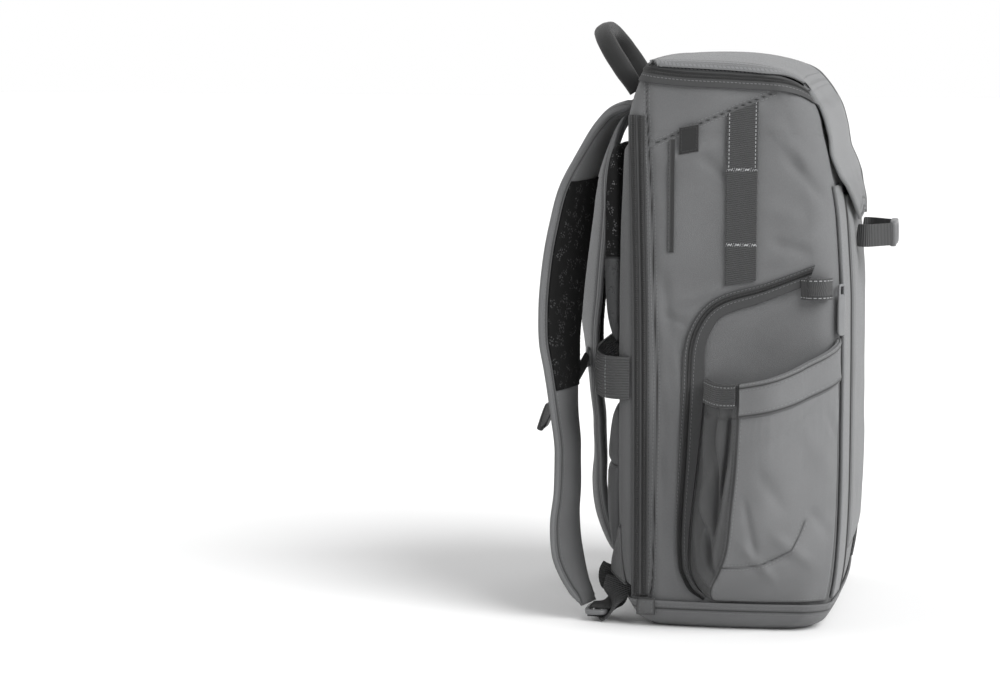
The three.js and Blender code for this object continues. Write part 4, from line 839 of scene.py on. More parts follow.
def make_rear_zips():
    """Two toothed coils six millimetres apart on a tape along the door's parting line."""
    for side, sign in SIDES:
        def place(u, z):
            return on_side(parting(z) + u * REAR_ZIP_WIDTH / 2, z, 0 * z, sign)

        def values(u, z, outer):
            return {"seam": abs(abs(u * REAR_ZIP_WIDTH / 2) - 3), "run": z, "tone": 1 + 0 * z}

        def thick(u, z):
            return 1.0 + 0.9 * bell(abs(u * REAR_ZIP_WIDTH / 2), 3, 1.1)
        laid(f"rear_zip_{side}_band", place, np.linspace(-1, 1, 29),
             np.linspace(DOOR_BOTTOM, DOOR_TOP + 13, 150), CLEARANCE, thick, DARK_ZIP,
             layers=values, slot="dark_fabric", replaces=[f"rear_zip_{side}"])

        def tab_place(u, z):
            return on_side(parting(z) - 6 + u * 7, z, 0 * z, sign)

        def tab_values(u, z, outer):
            edge = np.minimum((1 - abs(u)) * 7, np.minimum(z - 12, 25.5 - z))
            return {"seam": abs(edge - 0.2), "run": z + 7 * u}
        laid(f"rear_zip_tab_{side}_cloth", tab_place, np.linspace(-1, 1, 15),
             np.linspace(12, 25.5, 14), CLEARANCE * 3 + TRAY_WALL, 1.6, DARK_FABRIC,
             layers=tab_values, slot="dark_fabric", replaces=[f"rear_zip_tab_{side}"])


# ---------------------------------------------------------------- lid
LID_ROWS = table("at y z edgeY edgeZ", [
    [0.0, 0.785, 0.9685, 0.7, 0.967],
    [0.06, 0.69, 0.9725, 0.62, 0.965],
    [0.14, 0.52, 0.976, 0.46, 0.9615],
    [0.22, 0.27, 0.977, 0.25, 0.959],
    [0.3, 0.0, 0.975, 0.0, 0.956],
    [0.37, -0.2, 0.969, -0.22, 0.952],
    [0.43, -0.37, 0.9585, -0.42, 0.9455],
    [0.49, -0.5, 0.944, -0.56, 0.932],
    [0.55, -0.61, 0.924, -0.65, 0.914],
    [0.61, -0.71, 0.896, -0.71, 0.893],
])
FLAP_ROWS = table("at z edgeZ half off", [
    [0.61, 0.896, 0.89, 0.8, 0.6],
    [0.69, 0.85, 0.845, 0.81, 2.0],
    [0.73, 0.815, 0.812, 0.82, 0.5],
    [0.79, 0.775, 0.78, 0.83, 3.0],
    [0.85, 0.745, 0.752, 0.66, 4.4],
    [0.92, 0.724, 0.722, 0.48, 5.2],
    [1.0, 0.703, 0.694, 0.3, 5.4],
])
CROWN_END = 0.61
CROWN_POWER = 0.62


def by_sign(share):
    """A share of the rear reach where it is positive, else of the front reach."""
    return share * np.where(share > 0, BACK_REACH, FRONT_REACH)


def lid_place(u, v):
    """The lid's inner face: a crown over the rim whose height falls off by a power of the cosine
    towards the sides, then the flap, which follows the body's front."""
    side, across = np.where(u < 0, -1.0, 1.0), abs(u)
    w = np.minimum(v, CROWN_END)
    edge_y = by_sign(read(LID_ROWS, "edgeY", w))
    edge_z = BODY_HEIGHT * read(LID_ROWS, "edgeZ", w) + CLEARANCE * 2
    edge = on_side(edge_y, edge_z, CLEARANCE + 0 * w, 1.0)
    angle = across * math.pi / 2
    out = np.sin(angle)
    down = 1 - np.maximum(np.cos(angle), 0) ** CROWN_POWER
    crown = np.stack([
        side * edge[..., 0] * out,
        mix(by_sign(read(LID_ROWS, "y", w)), edge[..., 1], down),
        mix(BODY_HEIGHT * read(LID_ROWS, "z", w), edge[..., 2], down),
    ], -1)
    z = BODY_HEIGHT * mix(read(FLAP_ROWS, "z", v), read(FLAP_ROWS, "edgeZ", v), across**2)
    x = BODY_WIDTH / 2 * read(FLAP_ROWS, "half", v) * across
    x = np.minimum(x, section(z)[0] - 1)
    flap = on_front(side * x, z, read(FLAP_ROWS, "off", v) + CLEARANCE)
    return np.where((v <= CROWN_END)[..., None], crown, flap)


LID_FOLDS = [
    (-60, 70, 60, 62, 10, 0.8),
    (-90, -20, -40, -70, 9, -0.8),
    (30, -10, 95, -60, 9, 0.9),
]


def make_top_lid():
    """The lid with a bound edge, stitched rows along its border, and loose waves that grow
    towards the flap's tip. Each row is evened out with half of itself and a quarter of either
    neighbour, three times."""
    u, v = np.meshgrid(np.sin(np.linspace(-1, 1, 125) * math.pi / 2), np.linspace(0, 1, 145))
    base = lid_place(u, v)
    for _ in range(3):
        base[1:-1] = 0.25 * base[:-2] + 0.5 * base[1:-1] + 0.25 * base[2:]
    away = np.stack(np.broadcast_arrays(base[..., 0] * 0.4, base[..., 1] * 0.6, 60.0), -1)
    normal = grid_normals(base, away)
    across, along = arc(base, 1), arc(base, 0)
    to_side = np.minimum(across, across[:, -1:] - across)
    to_tip = along[-1:] - along
    edge = np.minimum(to_side, to_tip)
    flap = smooth(0.6, 0.9, v)
    bead = 0.7 * bell(edge, 1.6, 1.6)
    waves = flap * (1.3 * ripple(base[..., 0], base[..., 2], 11, 55) + 0.8)
    waves = waves + 0.5 * ripple(base[..., 0], base[..., 1], 4, 90)
    folds = creases(base[..., 0], base[..., 1], LID_FOLDS) * (1 - flap)
    dent = -1.5 * bell(base[..., 2], 394, 7) * smooth(0.62, 0.68, v) * (1 - 0.5 * abs(u))
    lift = np.maximum(waves + folds + dent, -0.3)
    seam = np.minimum(abs(edge - 3.6), abs(edge - 11.0) + 0.25)
    inner = base + normal * (CLEARANCE + lift)[..., None]
    outer = inner + normal * (LID_THICKNESS - 0.6 + bead - 0.7 * bell(edge, 4.4, 0.9))[..., None]
    tone = 1 + 0.04 * ripple(base[..., 0], base[..., 1], 9, 80)
    cloth("top_lid_cloth", outer, inner, LID_FABRIC,
          {"seam": seam, "run": along + across, "tone": tone}, slot="fabric",
          replaces=["top_lid"])


def make_lid_zip():
    """The zip band under the lid's edge, with one coil near its upper side."""
    ends = 3.85

    def place(u, v):
        turn = abs(u) * ends
        top = rim_height(turn) + 2.4
        sink = -0.9 * smooth(0.86, 1, v)
        return skin_at(turn, mix(top - LID_BAND_HEIGHT - 2.9, top, v), sink,
                       np.where(u < 0, -1, 1))

    def values(u, v, outer):
        return {"seam": abs(v - 0.62) * LID_BAND_HEIGHT * 1.2, "run": arc(outer, 1)}

    def thick(u, v):
        return 0.6 + 0.5 * smooth(1, 0.84, v) + 0.9 * bell(v, 0.62, 0.09)
    laid("lid_zip_band", place, np.linspace(-1, 1, 311), np.linspace(0, 1, 19), CLEARANCE, thick,
         DARK_ZIP, layers=values, slot="dark_fabric", replaces=["lid_zip"])


# ---------------------------------------------------------------- front
PANEL_FOLDS = [
    (-66, 120, -20, 96, 8, -1.0),
    (60, 300, 20, 250, 9, 0.8),
    (-60, 270, -15, 300, 9, -0.9),
    (64, 160, 30, 90, 7, 0.9),
    (-50, 200, 50, 190, 14, 0.7),
]


def make_front_panel():
    """The front pocket's face: a puffed panel that ends in a step near the bottom."""
    half = FRONT_PANEL_WIDTH / 2

    def place(u, z):
        return on_front(u * half, z, 0 * z)

    def edge(u, z):
        return np.minimum((1 - abs(u)) * half, z - FRONT_PANEL_BOTTOM)

    def thick(u, z):
        top = smooth(FRONT_PANEL_TOP, FRONT_PANEL_TOP - 40, z)
        puff = FRONT_PANEL_THICKNESS * (0.45 + 0.55 * smooth(0, 9, edge(u, z)))
        folds = creases(u * half, z, PANEL_FOLDS) + 0.5 * ripple(u * half, z, 21, 60)
        return puff * (0.45 + 0.55 * top) + folds * smooth(0, 12, edge(u, z)) * top * 0.9

    def values(u, z, outer):
        return {"seam": abs(edge(u, z) - 2.0), "run": z + u * half,
                "tone": 1 + 0.03 * ripple(u * half, z, 22, 70)}
    laid("front_panel_cloth", place, np.linspace(-1, 1, 91),
         np.linspace(FRONT_PANEL_BOTTOM, FRONT_PANEL_TOP, 171), CLEARANCE, thick, PANEL_FABRIC,
         layers=values, slot="fabric", replaces=["front_panel"])


GUSSET_RUN = 46


def make_front_trims():
    """The front zips, flat tapes with one raised coil, and the piped bands beside them."""
    middle = FRONT_PANEL_WIDTH / 2 + CLEARANCE + FRONT_ZIP_WIDTH / 2
    inner_x = middle + FRONT_ZIP_WIDTH / 2 + CLEARANCE
    for side, sign in SIDES:
        def place(u, z):
            return on_front(sign * (middle + u * FRONT_ZIP_WIDTH / 2), z, 0 * z)

        def values(u, z, outer):
            return {"seam": abs(u) * FRONT_ZIP_WIDTH / 2, "run": z}

        def thick(u, z):
            return 1.0 + 1.0 * bell(u * FRONT_ZIP_WIDTH / 2, 0, 1.2)
        laid(f"front_zip_{side}_band", place, np.linspace(-1, 1, 19), np.linspace(26, 358, 170),
             CLEARANCE, thick, DARK_ZIP, layers=values, slot="dark_fabric",
             replaces=[f"front_zip_{side}"])

        def gusset(u, z):
            seam = 3 + GUSSET_SEAM_TURN
            return skin_at(mix(seam, front_turn(inner_x, z), u), z, 0 * z, sign)

        def gusset_thick(u, z):
            piping = 1.4 * bell(u * GUSSET_RUN, 1.6, 1.7)
            waves = 0.5 * ripple(u * GUSSET_RUN, z, 31, 50)
            return 1.4 + piping + waves * smooth(0, 0.3, u) * smooth(1, 0.8, u)

        def gusset_values(u, z, outer):
            return {"seam": np.minimum(abs(u * GUSSET_RUN - 3.6),
                                       abs((1 - u) * GUSSET_RUN - 1.5)), "run": z}
        laid(f"front_gusset_{side}_cloth", gusset, np.linspace(0, 1, 40),
             np.linspace(27, 366, 150), CLEARANCE, gusset_thick, PANEL_FABRIC,
             layers=gusset_values, slot="fabric", replaces=[f"front_gusset_{side}"])


# ---------------------------------------------------------------- side doors and pockets
DOOR_BAND = table("at outerY outerZ innerY innerZ", [
    [0.0, -0.72, 0.632, -0.66, 0.598],
    [0.12, -0.3, 0.601, -0.26, 0.567],
    [0.24, 0.09, 0.578, 0.06, 0.544],
    [0.32, 0.27, 0.55, 0.16, 0.521],
    [0.4, 0.39, 0.5, 0.22, 0.483],
    [0.5, 0.426, 0.417, 0.23, 0.396],
    [0.64, 0.447, 0.29, 0.28, 0.29],
    [0.78, 0.463, 0.177, 0.34, 0.183],
    [0.88, 0.45, 0.12, 0.355, 0.125],
    [0.95, 0.41, 0.09, 0.325, 0.092],
    [0.975, 0.34, 0.067, 0.27, 0.073],
    [1.0, 0.22, 0.052, 0.19, 0.058],
])
POCKET_SEAM = table("at y", [
    [0.05, 0.1],
    [0.069, 0.22],
    [0.092, 0.29],
    [0.125, 0.32],
    [0.183, 0.305],
    [0.29, 0.245],
    [0.396, 0.2],
    [0.52, 0.19],
])
GUSSET_SWELL = table("at share", [[0.0, 0.0], [0.5, 0.8], [1.0, 1.0]])
PANEL_SWELL = table("at share", [
    [0.0, 1.0],
    [0.25, 1.08],
    [0.5, 0.93],
    [0.75, 0.55],
    [0.92, 0.17],
    [1.0, 0.0],
])
PANEL_STEPS = np.linspace(-0.07, 0.07, 9)
BLEND_STEPS = np.linspace(-1, 1, 9)
POCKET_RISE = table("at swell corner", [
    [0.0, 0.0, 0.0],
    [0.06, 0.16, 0.35],
    [0.15, 0.38, 0.75],
    [0.35, 0.66, 0.97],
    [0.7, 0.9, 1.0],
    [1.0, 1.0, 1.0],
])


def make_side_doors():
    """The side doors' zip bands: strips between an outer and an inner line of the table, with a
    raised coil a third of the way across and a raised outer edge."""
    for side, sign in SIDES:
        def place(u, v):
            y = mix(by_sign(read(DOOR_BAND, "outerY", v)), by_sign(read(DOOR_BAND, "innerY", v)),
                    u)
            z = mix(read(DOOR_BAND, "outerZ", v), read(DOOR_BAND, "innerZ", v), u) * BODY_HEIGHT
            return on_side(y, z, 0 * u, sign)

        def thick(u, v):
            return 1.1 + 0.9 * bell(u, 0.34, 0.07) + 0.7 * bell(u, 0.06, 0.05)

        def values(u, v, outer):
            across = arc(outer, 1)
            return {"seam": abs(across - 0.34 * across[:, -1:]), "run": arc(outer, 0)}
        laid(f"door_zip_{side}_band", place, np.linspace(0, 1, 27), np.linspace(0, 1, 260),
             CLEARANCE, thick, DARK_ZIP, layers=values, slot="dark_fabric",
             replaces=[f"door_zip_{side}"])


def pocket_corner(rise):
    """The share of the pocket that its rear gusset takes up: its full part of the width by the
    table's share at that rise, and never less than a twentieth of it."""
    return POCKET_CORNER * np.maximum(read(POCKET_RISE, "corner", rise), 0.05)


def pocket_place(share, rise, side):
    """The side pocket's inner face: it swells off the body by its share from the rear seam to
    the front seam and by its rise from the bottom seam to the mouth."""
    across, up = np.clip(share, 0, 1), np.maximum(rise, 0)
    corner = pocket_corner(up)
    along = (across - corner) / (1 - corner)
    panel = sum(read(PANEL_SWELL, "share", along + step) for step in PANEL_STEPS)
    panel = panel / len(PANEL_STEPS) * smooth(1.0, 0.96, along)
    swell = np.where(across < corner, read(GUSSET_SWELL, "share", across / corner), panel)
    mouth = POCKET_MOUTH + POCKET_MOUTH_RISE * across**2.2
    z = mix(POCKET_BOTTOM, mouth, up)
    rear = BACK_REACH * read(POCKET_SEAM, "y", z / BODY_HEIGHT)
    front = skin(3 + GUSSET_SEAM_TURN + 0 * z, z)[..., 1] + POCKET_CLOTH + CLEARANCE * 2
    bulge = POCKET_BULGE * swell * read(POCKET_RISE, "swell", up)
    y = mix(rear, front, across)
    reach = 9 * smooth(1, 0.92, across) * smooth(0.3, 0.42, across)
    spread = [on_side(y + step * reach, z, bulge, side) for step in BLEND_STEPS]
    return sum(spread) / len(spread)


GUSSET_FOLDS = [
    (0.05, 1.0, 0.13, 0.35, 0.02, 5.1),
    (0.11, 0.98, 0.19, 0.25, 0.018, -6.9),
    (0.17, 0.92, 0.1, 0.2, 0.02, 4.5),
    (0.22, 1.0, 0.2, 0.3, 0.018, -6.0),
    (0.25, 0.7, 0.17, 0.12, 0.018, 3.9),
    (0.06, 0.55, 0.18, 0.1, 0.02, -5.4),
    (0.03, 0.4, 0.12, 0.05, 0.02, 3.6),
]
POCKET_FOLDS = [
    (0.33, 0.3, 0.62, 0.1, 0.03, 2.4),
    (0.4, 0.16, 0.75, 0.22, 0.025, -2.6),
    (0.55, 0.32, 0.9, 0.14, 0.03, 2.2),
    (0.42, 0.62, 0.66, 0.4, 0.04, -1.5),
    (0.7, 0.8, 0.93, 0.5, 0.04, 1.6),
    (0.36, 0.5, 0.48, 0.2, 0.025, -2.0),
    (0.8, 0.4, 0.97, 0.24, 0.025, -1.8),
    (0.86, 0.78, 0.98, 0.62, 0.02, -1.4),
    (0.45, 0.72, 0.9, 0.86, 0.03, 1.2),
]

# The lining's seam, in millimetres along the pocket and up from its bottom.
POCKET_RUN = 130
LINING_SEAM = [(29, 30.5), (40, 31), (54, 31.5), (66, 33), (76, 35.2), (84, 38.5), (90, 43),
               (95, 49), (99, 56), (102, 64)]


def make_pockets():
    """The pockets: deep upright folds in the rear gusset, slack diagonals low on the panel, and
    small gathers under the elastic hem."""
    shares = np.concatenate([np.linspace(0, 0.29, 44, endpoint=False), np.linspace(0.29, 1, 78)])
    rises = np.linspace(0, 1, 110) ** 1.15
    depth = POCKET_MOUTH - POCKET_BOTTOM
    hem_start = 1 - HEM_HEIGHT / depth
    for side, sign in SIDES:
        u, v = np.meshgrid(shares, rises)
        base = pocket_place(u, v, sign)
        normal = grid_normals(base, outward(base))
        calm = smooth(0, 0.04, v) * smooth(0, 0.02, u) * smooth(1, 0.96, u)
        folds = creases(u, v, GUSSET_FOLDS) + creases(u, v, POCKET_FOLDS)
        below_hem = smooth(hem_start + 0.01, hem_start - 0.03, v) * smooth(
            hem_start - 0.3, hem_start - 0.05, v)
        gathers = 0.07 * np.sin(u * 120 + 5 * ripple(u, v, 41, 0.3)) * below_hem * smooth(
            0.3, 0.36, u)
        slack = 1.3 * ripple(u * 110, v * 180, 42, 60) * smooth(1, 0.7, v) + folds + gathers
        slack = np.where(v > hem_start, slack * smooth(1.0, hem_start, v) * 0.5, slack)
        inner = base + normal * (CLEARANCE + slack * calm)[..., None]
        outer = inner + normal * POCKET_CLOTH
        corner = pocket_corner(v)
        lined, lined_run = seam_lines(u * POCKET_RUN, v * depth, [LINING_SEAM])
        seam = np.minimum(np.minimum(abs(u - corner) * 120, lined + 0.2), np.minimum(
            v * depth, np.minimum(u * 150, (1 - u) * 110)))
        tone = 1 - 0.66 * smooth(corner + 0.005, corner - 0.02, u) - 0.1 * smooth(0.3, 0.0, v)
        tone = tone * (1 + 0.05 * ripple(u * POCKET_RUN, v * depth, 45, 34))
        run = np.where(abs(u - corner) < 0.03, v * depth, u * POCKET_RUN)
        run = np.where(lined < 4, lined_run, run)
        pocket = cloth(f"side_pocket_{side}_cloth", outer, inner, POCKET_FABRIC,
                       {"seam": seam, "run": run, "tone": tone},
                       slot="fabric", replaces=[f"side_pocket_{side}"])

        def place(a, b):
            return pocket_place(a, b, sign)

        def hem_thick(a, b):
            t = (b - hem_start) / (1 - hem_start)
            rolls = 0.5 * bell(t, 0.06, 0.05) + 0.6 * bell(t, 0.95, 0.06)
            return 1.2 + rolls + 0.5 * ripple(a * 110, t * 30, 43, 26)

        def hem_values(a, b, out):
            t = (b - hem_start) / (1 - hem_start) * HEM_HEIGHT
            return {"seam": np.minimum(abs(t - 1.2), abs(HEM_HEIGHT - 3 - t)),
                    "run": a * POCKET_RUN, "tone": 0.97 + 0 * a}
        laid(f"pocket_hem_{side}_cloth", place, np.linspace(POCKET_CORNER, 1, 100),
             np.linspace(hem_start, 1, 26), CLEARANCE * 2 + POCKET_CLOTH, hem_thick,
             POCKET_FABRIC, layers=hem_values, slot="fabric", replaces=[f"pocket_hem_{side}"])

        def tab_values(a, b, out):
            t = (1 - b) * depth
            box = np.minimum(abs(t - 2.2), abs(TAB_HEIGHT - 2.4 - t))
            return {"seam": box, "run": a * 150, "tone": 1 + 0 * a}
        laid(f"pocket_tab_{side}_webbing", place, np.linspace(0.02, POCKET_CORNER - 0.02, 30),
             np.linspace(1 - TAB_HEIGHT / depth, 1, 22), CLEARANCE * 2 + POCKET_CLOTH + 1.0, 1.4,
             DARK_WEBBING, layers=tab_values, slot="webbing", replaces=[f"pocket_tab_{side}"])


def zigzag(across, along, width, period):
    """The distance from a zigzag line that swings over the given width."""
    t = along / period
    swing = (abs((t % 1) - 0.5) * 4 - 1) * width / 2
    return abs(across - swing) * 0.6


def make_side_trims():
    """The upright webbing with its bar tacks, the slot's lip darkened as painted shade in the slot,
    and the bare tag.
    """
    low, high, tacks = 288, 430, (30, 91)
    for side, sign in SIDES:
        def place(u, v):
            y = SIDE_WEB_Y - u * SIDE_WEB_WIDTH / 2
            return on_side(y, mix(low + 2 * u, high + 5 * u, v), 0 * u, sign)

        def values(u, v, outer):
            u_mm = u * SIDE_WEB_WIDTH / 2
            v_mm = v * (high - low + 3 * u) + 2 * u - 1
            bars = np.minimum(*(zigzag(v_mm - at, u_mm + 40, 2.6, 1.9) + np.where(
                abs(v_mm - at) < 2.2, 0, 9) for at in tacks))
            edges = abs(abs(u_mm) - 10.6) + np.where(v_mm > tacks[1], 0, 9)
            return {"seam": np.minimum(bars, edges), "run": np.where(edges < 3, v_mm, 0.1)}

        def thick(u, v):
            return 1.4 + 0.25 * bell(abs(u), 0.97, 0.03)
        laid(f"side_webbing_{side}_strip", place, np.linspace(-1, 1, 31), np.linspace(0, 1, 190),
             CLEARANCE, thick, DARK_WEBBING, layers=values, slot="webbing",
             replaces=[f"side_webbing_{side}"])

    slot_y, slot_low, slot_high = 50, 312, 404

    def welt(u, v):
        return on_side(slot_y - u * 2.5, mix(slot_low, slot_high, v), 0 * u, -1.0)

    def welt_thick(u, v):
        return 0.4 + 0.8 * bell(u, -0.6, 0.3) * smooth(0, 0.04, v) * smooth(1, 0.96, v)

    # The welt's tone is painted shade: dark across most of it for the shadow in the slot, lighter
    # along its rear edge.
    def welt_values(u, v, outer):
        return {"seam": 2.4 + abs(u + 0.75) * 2.5, "run": v * (slot_high - slot_low),
                "tone": 0.2 + 0.45 * smooth(-0.3, -0.6, u)}
    laid("slot_welt_left_cloth", welt, np.linspace(-1, 1, 17), np.linspace(0, 1, 90), CLEARANCE,
         welt_thick, DARK_FABRIC, layers=welt_values,
         slot="fabric", replaces=["slot_welt_left"])

    def tag(u, v):
        return on_side(36 - u * 8, mix(393 + 1.5 * u, 415 + 1.5 * u, v), 0 * u, -1.0)

    def tag_values(u, v, outer):
        edge = np.minimum((1 - abs(u)) * 8, (0.5 - abs(v - 0.5)) * 22)
        return {"seam": abs(edge + 0.6), "run": v * 22 + u * 8, "tone": 1 + 0 * u}
    laid("label_tag_cloth", tag, np.linspace(-1, 1, 21), np.linspace(0, 1, 27), CLEARANCE, 1.0,
         BLACK_FABRIC, layers=tag_values, slot="mesh_cloth", replaces=["label_tag"])


# ---------------------------------------------------------------- shoulder straps
STRAP_ROWS = table("at z reach spread twist width", [
    [0.0, 0.893, -0.085, 0.62, 0, 0.94],
    [0.04, 0.883, 0.16, 0.63, 1, 0.96],
    [0.09, 0.86, 0.34, 0.65, 4, 0.98],
    [0.16, 0.817, 0.54, 0.7, 9, 1.0],
    [0.24, 0.756, 0.77, 0.77, 16, 1.0],
    [0.32, 0.694, 0.88, 0.83, 21, 1.0],
    [0.4, 0.625, 0.96, 0.87, 23, 1.0],
    [0.48, 0.542, 1.0, 0.9, 22, 1.0],
    [0.54, 0.49, 0.99, 0.91, 19, 1.0],
    [0.6, 0.435, 0.92, 0.91, 14, 0.98],
    [0.68, 0.358, 0.83, 0.92, 9, 0.95],
    [0.75, 0.29, 0.77, 0.93, 8, 0.92],
    [0.82, 0.223, 0.78, 0.95, 10, 0.89],
    [0.88, 0.169, 0.82, 0.97, 13, 0.86],
    [0.93, 0.117, 0.79, 0.99, 15, 0.82],
    [0.97, 0.067, 0.69, 1.0, 16, 0.78],
    [1.0, 0.036, 0.56, 1.0, 16, 0.74],
])


def strap_place(u, v, side):
    """The strap's middle surface, from u = -1 at its outer edge to 1 at its inner edge."""
    twist = np.radians(read(STRAP_ROWS, "twist", v))
    across = (u + 1) / 2 * STRAP_WIDTH * read(STRAP_ROWS, "width", v)
    x = STRAP_SPREAD * read(STRAP_ROWS, "spread", v) - across * np.cos(twist)
    y = BACK_REACH + STRAP_REACH * read(STRAP_ROWS, "reach", v) - across * np.sin(twist)
    return np.stack([side * x, y, BODY_HEIGHT * read(STRAP_ROWS, "z", v)], -1)


def pad_place(u, v, side):
    """The padded strap's middle surface: at its lower end it is drawn in and bends down to the
    webbing's adjuster."""
    end = smooth(0.93, 1, v)
    drop = np.stack(np.broadcast_arrays(0.0, -4.0 * end, -4.5 * end), -1)
    return strap_place(u * (1 - 0.42 * end), v, side) + drop


def strap_half(u):
    """Half the strap's thickness: it falls off by the fourth power towards both edges."""
    return STRAP_THICKNESS / 2 * (1 - 0.62 * abs(u) ** 4)


def strap_normal(points):
    """Unit normals of the strap's middle surface, towards the wearer's back."""
    return grid_normals(points, np.array([0.0, -1.0, -0.3]))


def make_shoulder_straps():
    """The straps: a padded band with flattened, piped edges, and air mesh on the inner face."""
    vs = np.linspace(0, 1, 260)
    us = np.sin(np.linspace(-1, 1, 41) * math.pi / 2)
    for side, sign in SIDES:
        u, v = np.meshgrid(us, vs)
        base = pad_place(u, v, sign)
        normal = strap_normal(base)
        along = arc(base, 0)
        edge = (1 - abs(u)) * STRAP_WIDTH / 2
        end = smooth(0, 0.02, v) * smooth(1, 0.98, v)
        body = strap_half(u) * (0.35 + 0.65 * end) - 1.3 * bell(edge, 4.2, 1.6)
        body = body + 0.35 * ripple(u * 30, along, 51, 45) * smooth(1, 0.7, abs(u))
        outer = base - normal * body[..., None]
        inner = base + normal * (body - 0.2)[..., None]
        seam = abs(edge - 4.2)
        strap = cloth(f"shoulder_strap_{side}_pad", outer, inner, STRAP_FABRIC,
                      {"seam": seam, "run": along, "tone": 1 - 0.3 * smooth(0.6, 0.7, v)},
                      slot="fabric", replaces=[f"shoulder_strap_{side}"])
        for edge_name, at in (("outer", -1), ("inner", 1)):
            line = pad_place(at, vs, sign)[1:-1:2]
            tube(f"strap_piping_{edge_name}_{side}",
                 carried(line, outline(3.4, 3.4, 2, 10), [0, 1, 0.01]), STRAP_FABRIC,
                 slot="fabric")
        lu, lv = np.meshgrid(np.linspace(-0.84, 0.84, 39), np.linspace(5 / 22, 14 / 22, 110))
        face = strap_place(lu, lv, sign)
        towards = strap_normal(face)
        dimples = 0.25 * np.sin(lu * 60) * np.sin(arc(face, 0) * 1.1)
        puff = 1.5 * smooth(0.84, 0.7, abs(lu)) * smooth(0.227, 0.25, lv) * smooth(
            0.6364, 0.61, lv)
        low = strap_half(lu) + 0.2
        cloth(f"strap_lining_{side}_mesh", face + towards * (low + 0.7 + puff + dimples)[..., None],
              face + towards * (low - 0.5)[..., None], AIR_MESH, slot="mesh_cloth",
              replaces=[f"strap_lining_{side}"])


# ---------------------------------------------------------------- webbing and fittings
def strip(name, points, wide, width, thick, count, finish, node):
    """Webbing: a flat superellipse carried along a smooth curve."""
    rings = carried(spline(points, count), outline(width, thick, 8, 28), wide,
                    rounded_ends(count, 2))
    return tube(name, rings, finish, slot="webbing", replaces=[node])


def turning(first, last, count):
    """Width directions that turn evenly from the first to the last."""
    t = smooth(0, 1, np.linspace(0, 1, count))[:, None]
    return unit(mix(np.asarray(first, float), np.asarray(last, float), t))


def block(name, middle, size, finish, axes=np.eye(3), power=5.0, node=None):
    """A rounded block: superellipse rings along its length, drawn in at both ends. The rows of
    axes are its length, width and thickness directions."""
    t = np.sin(np.linspace(-1, 1, 27) * math.pi / 2)
    scale = np.maximum(1 - abs(t) ** (power * 2), 0.0) ** (1 / power) * 0.98 + 0.02
    profile = outline(size[1], size[2], power, 36)
    axes = np.asarray(axes, float)
    rings = (np.asarray(middle, float) + (t * size[0] / 2)[:, None, None] * axes[0]
             + scale[:, None, None] * (profile[:, :1] * axes[1] + profile[:, 1:] * axes[2]))
    return tube(name, rings, finish, slot="plastic", replaces=[node] if node else ())


def loop(name, middle, size, bar, finish, axes=np.eye(3), power=5.0, thick=None, node=None):
    """A ring of plastic: a round-edged bar carried round a superellipse."""
    path = outline(size[0] - bar, size[1] - bar, power, 72)
    axes = np.asarray(axes, float)
    line = np.asarray(middle, float) + path[:, :1] * axes[0] + path[:, 1:] * axes[1]
    rings = carried(line, outline(thick or bar, bar, 3, 14), axes[2], closed=True)
    return tube(name, rings, finish, closed=True, slot="plastic",
                replaces=[node] if node else ())


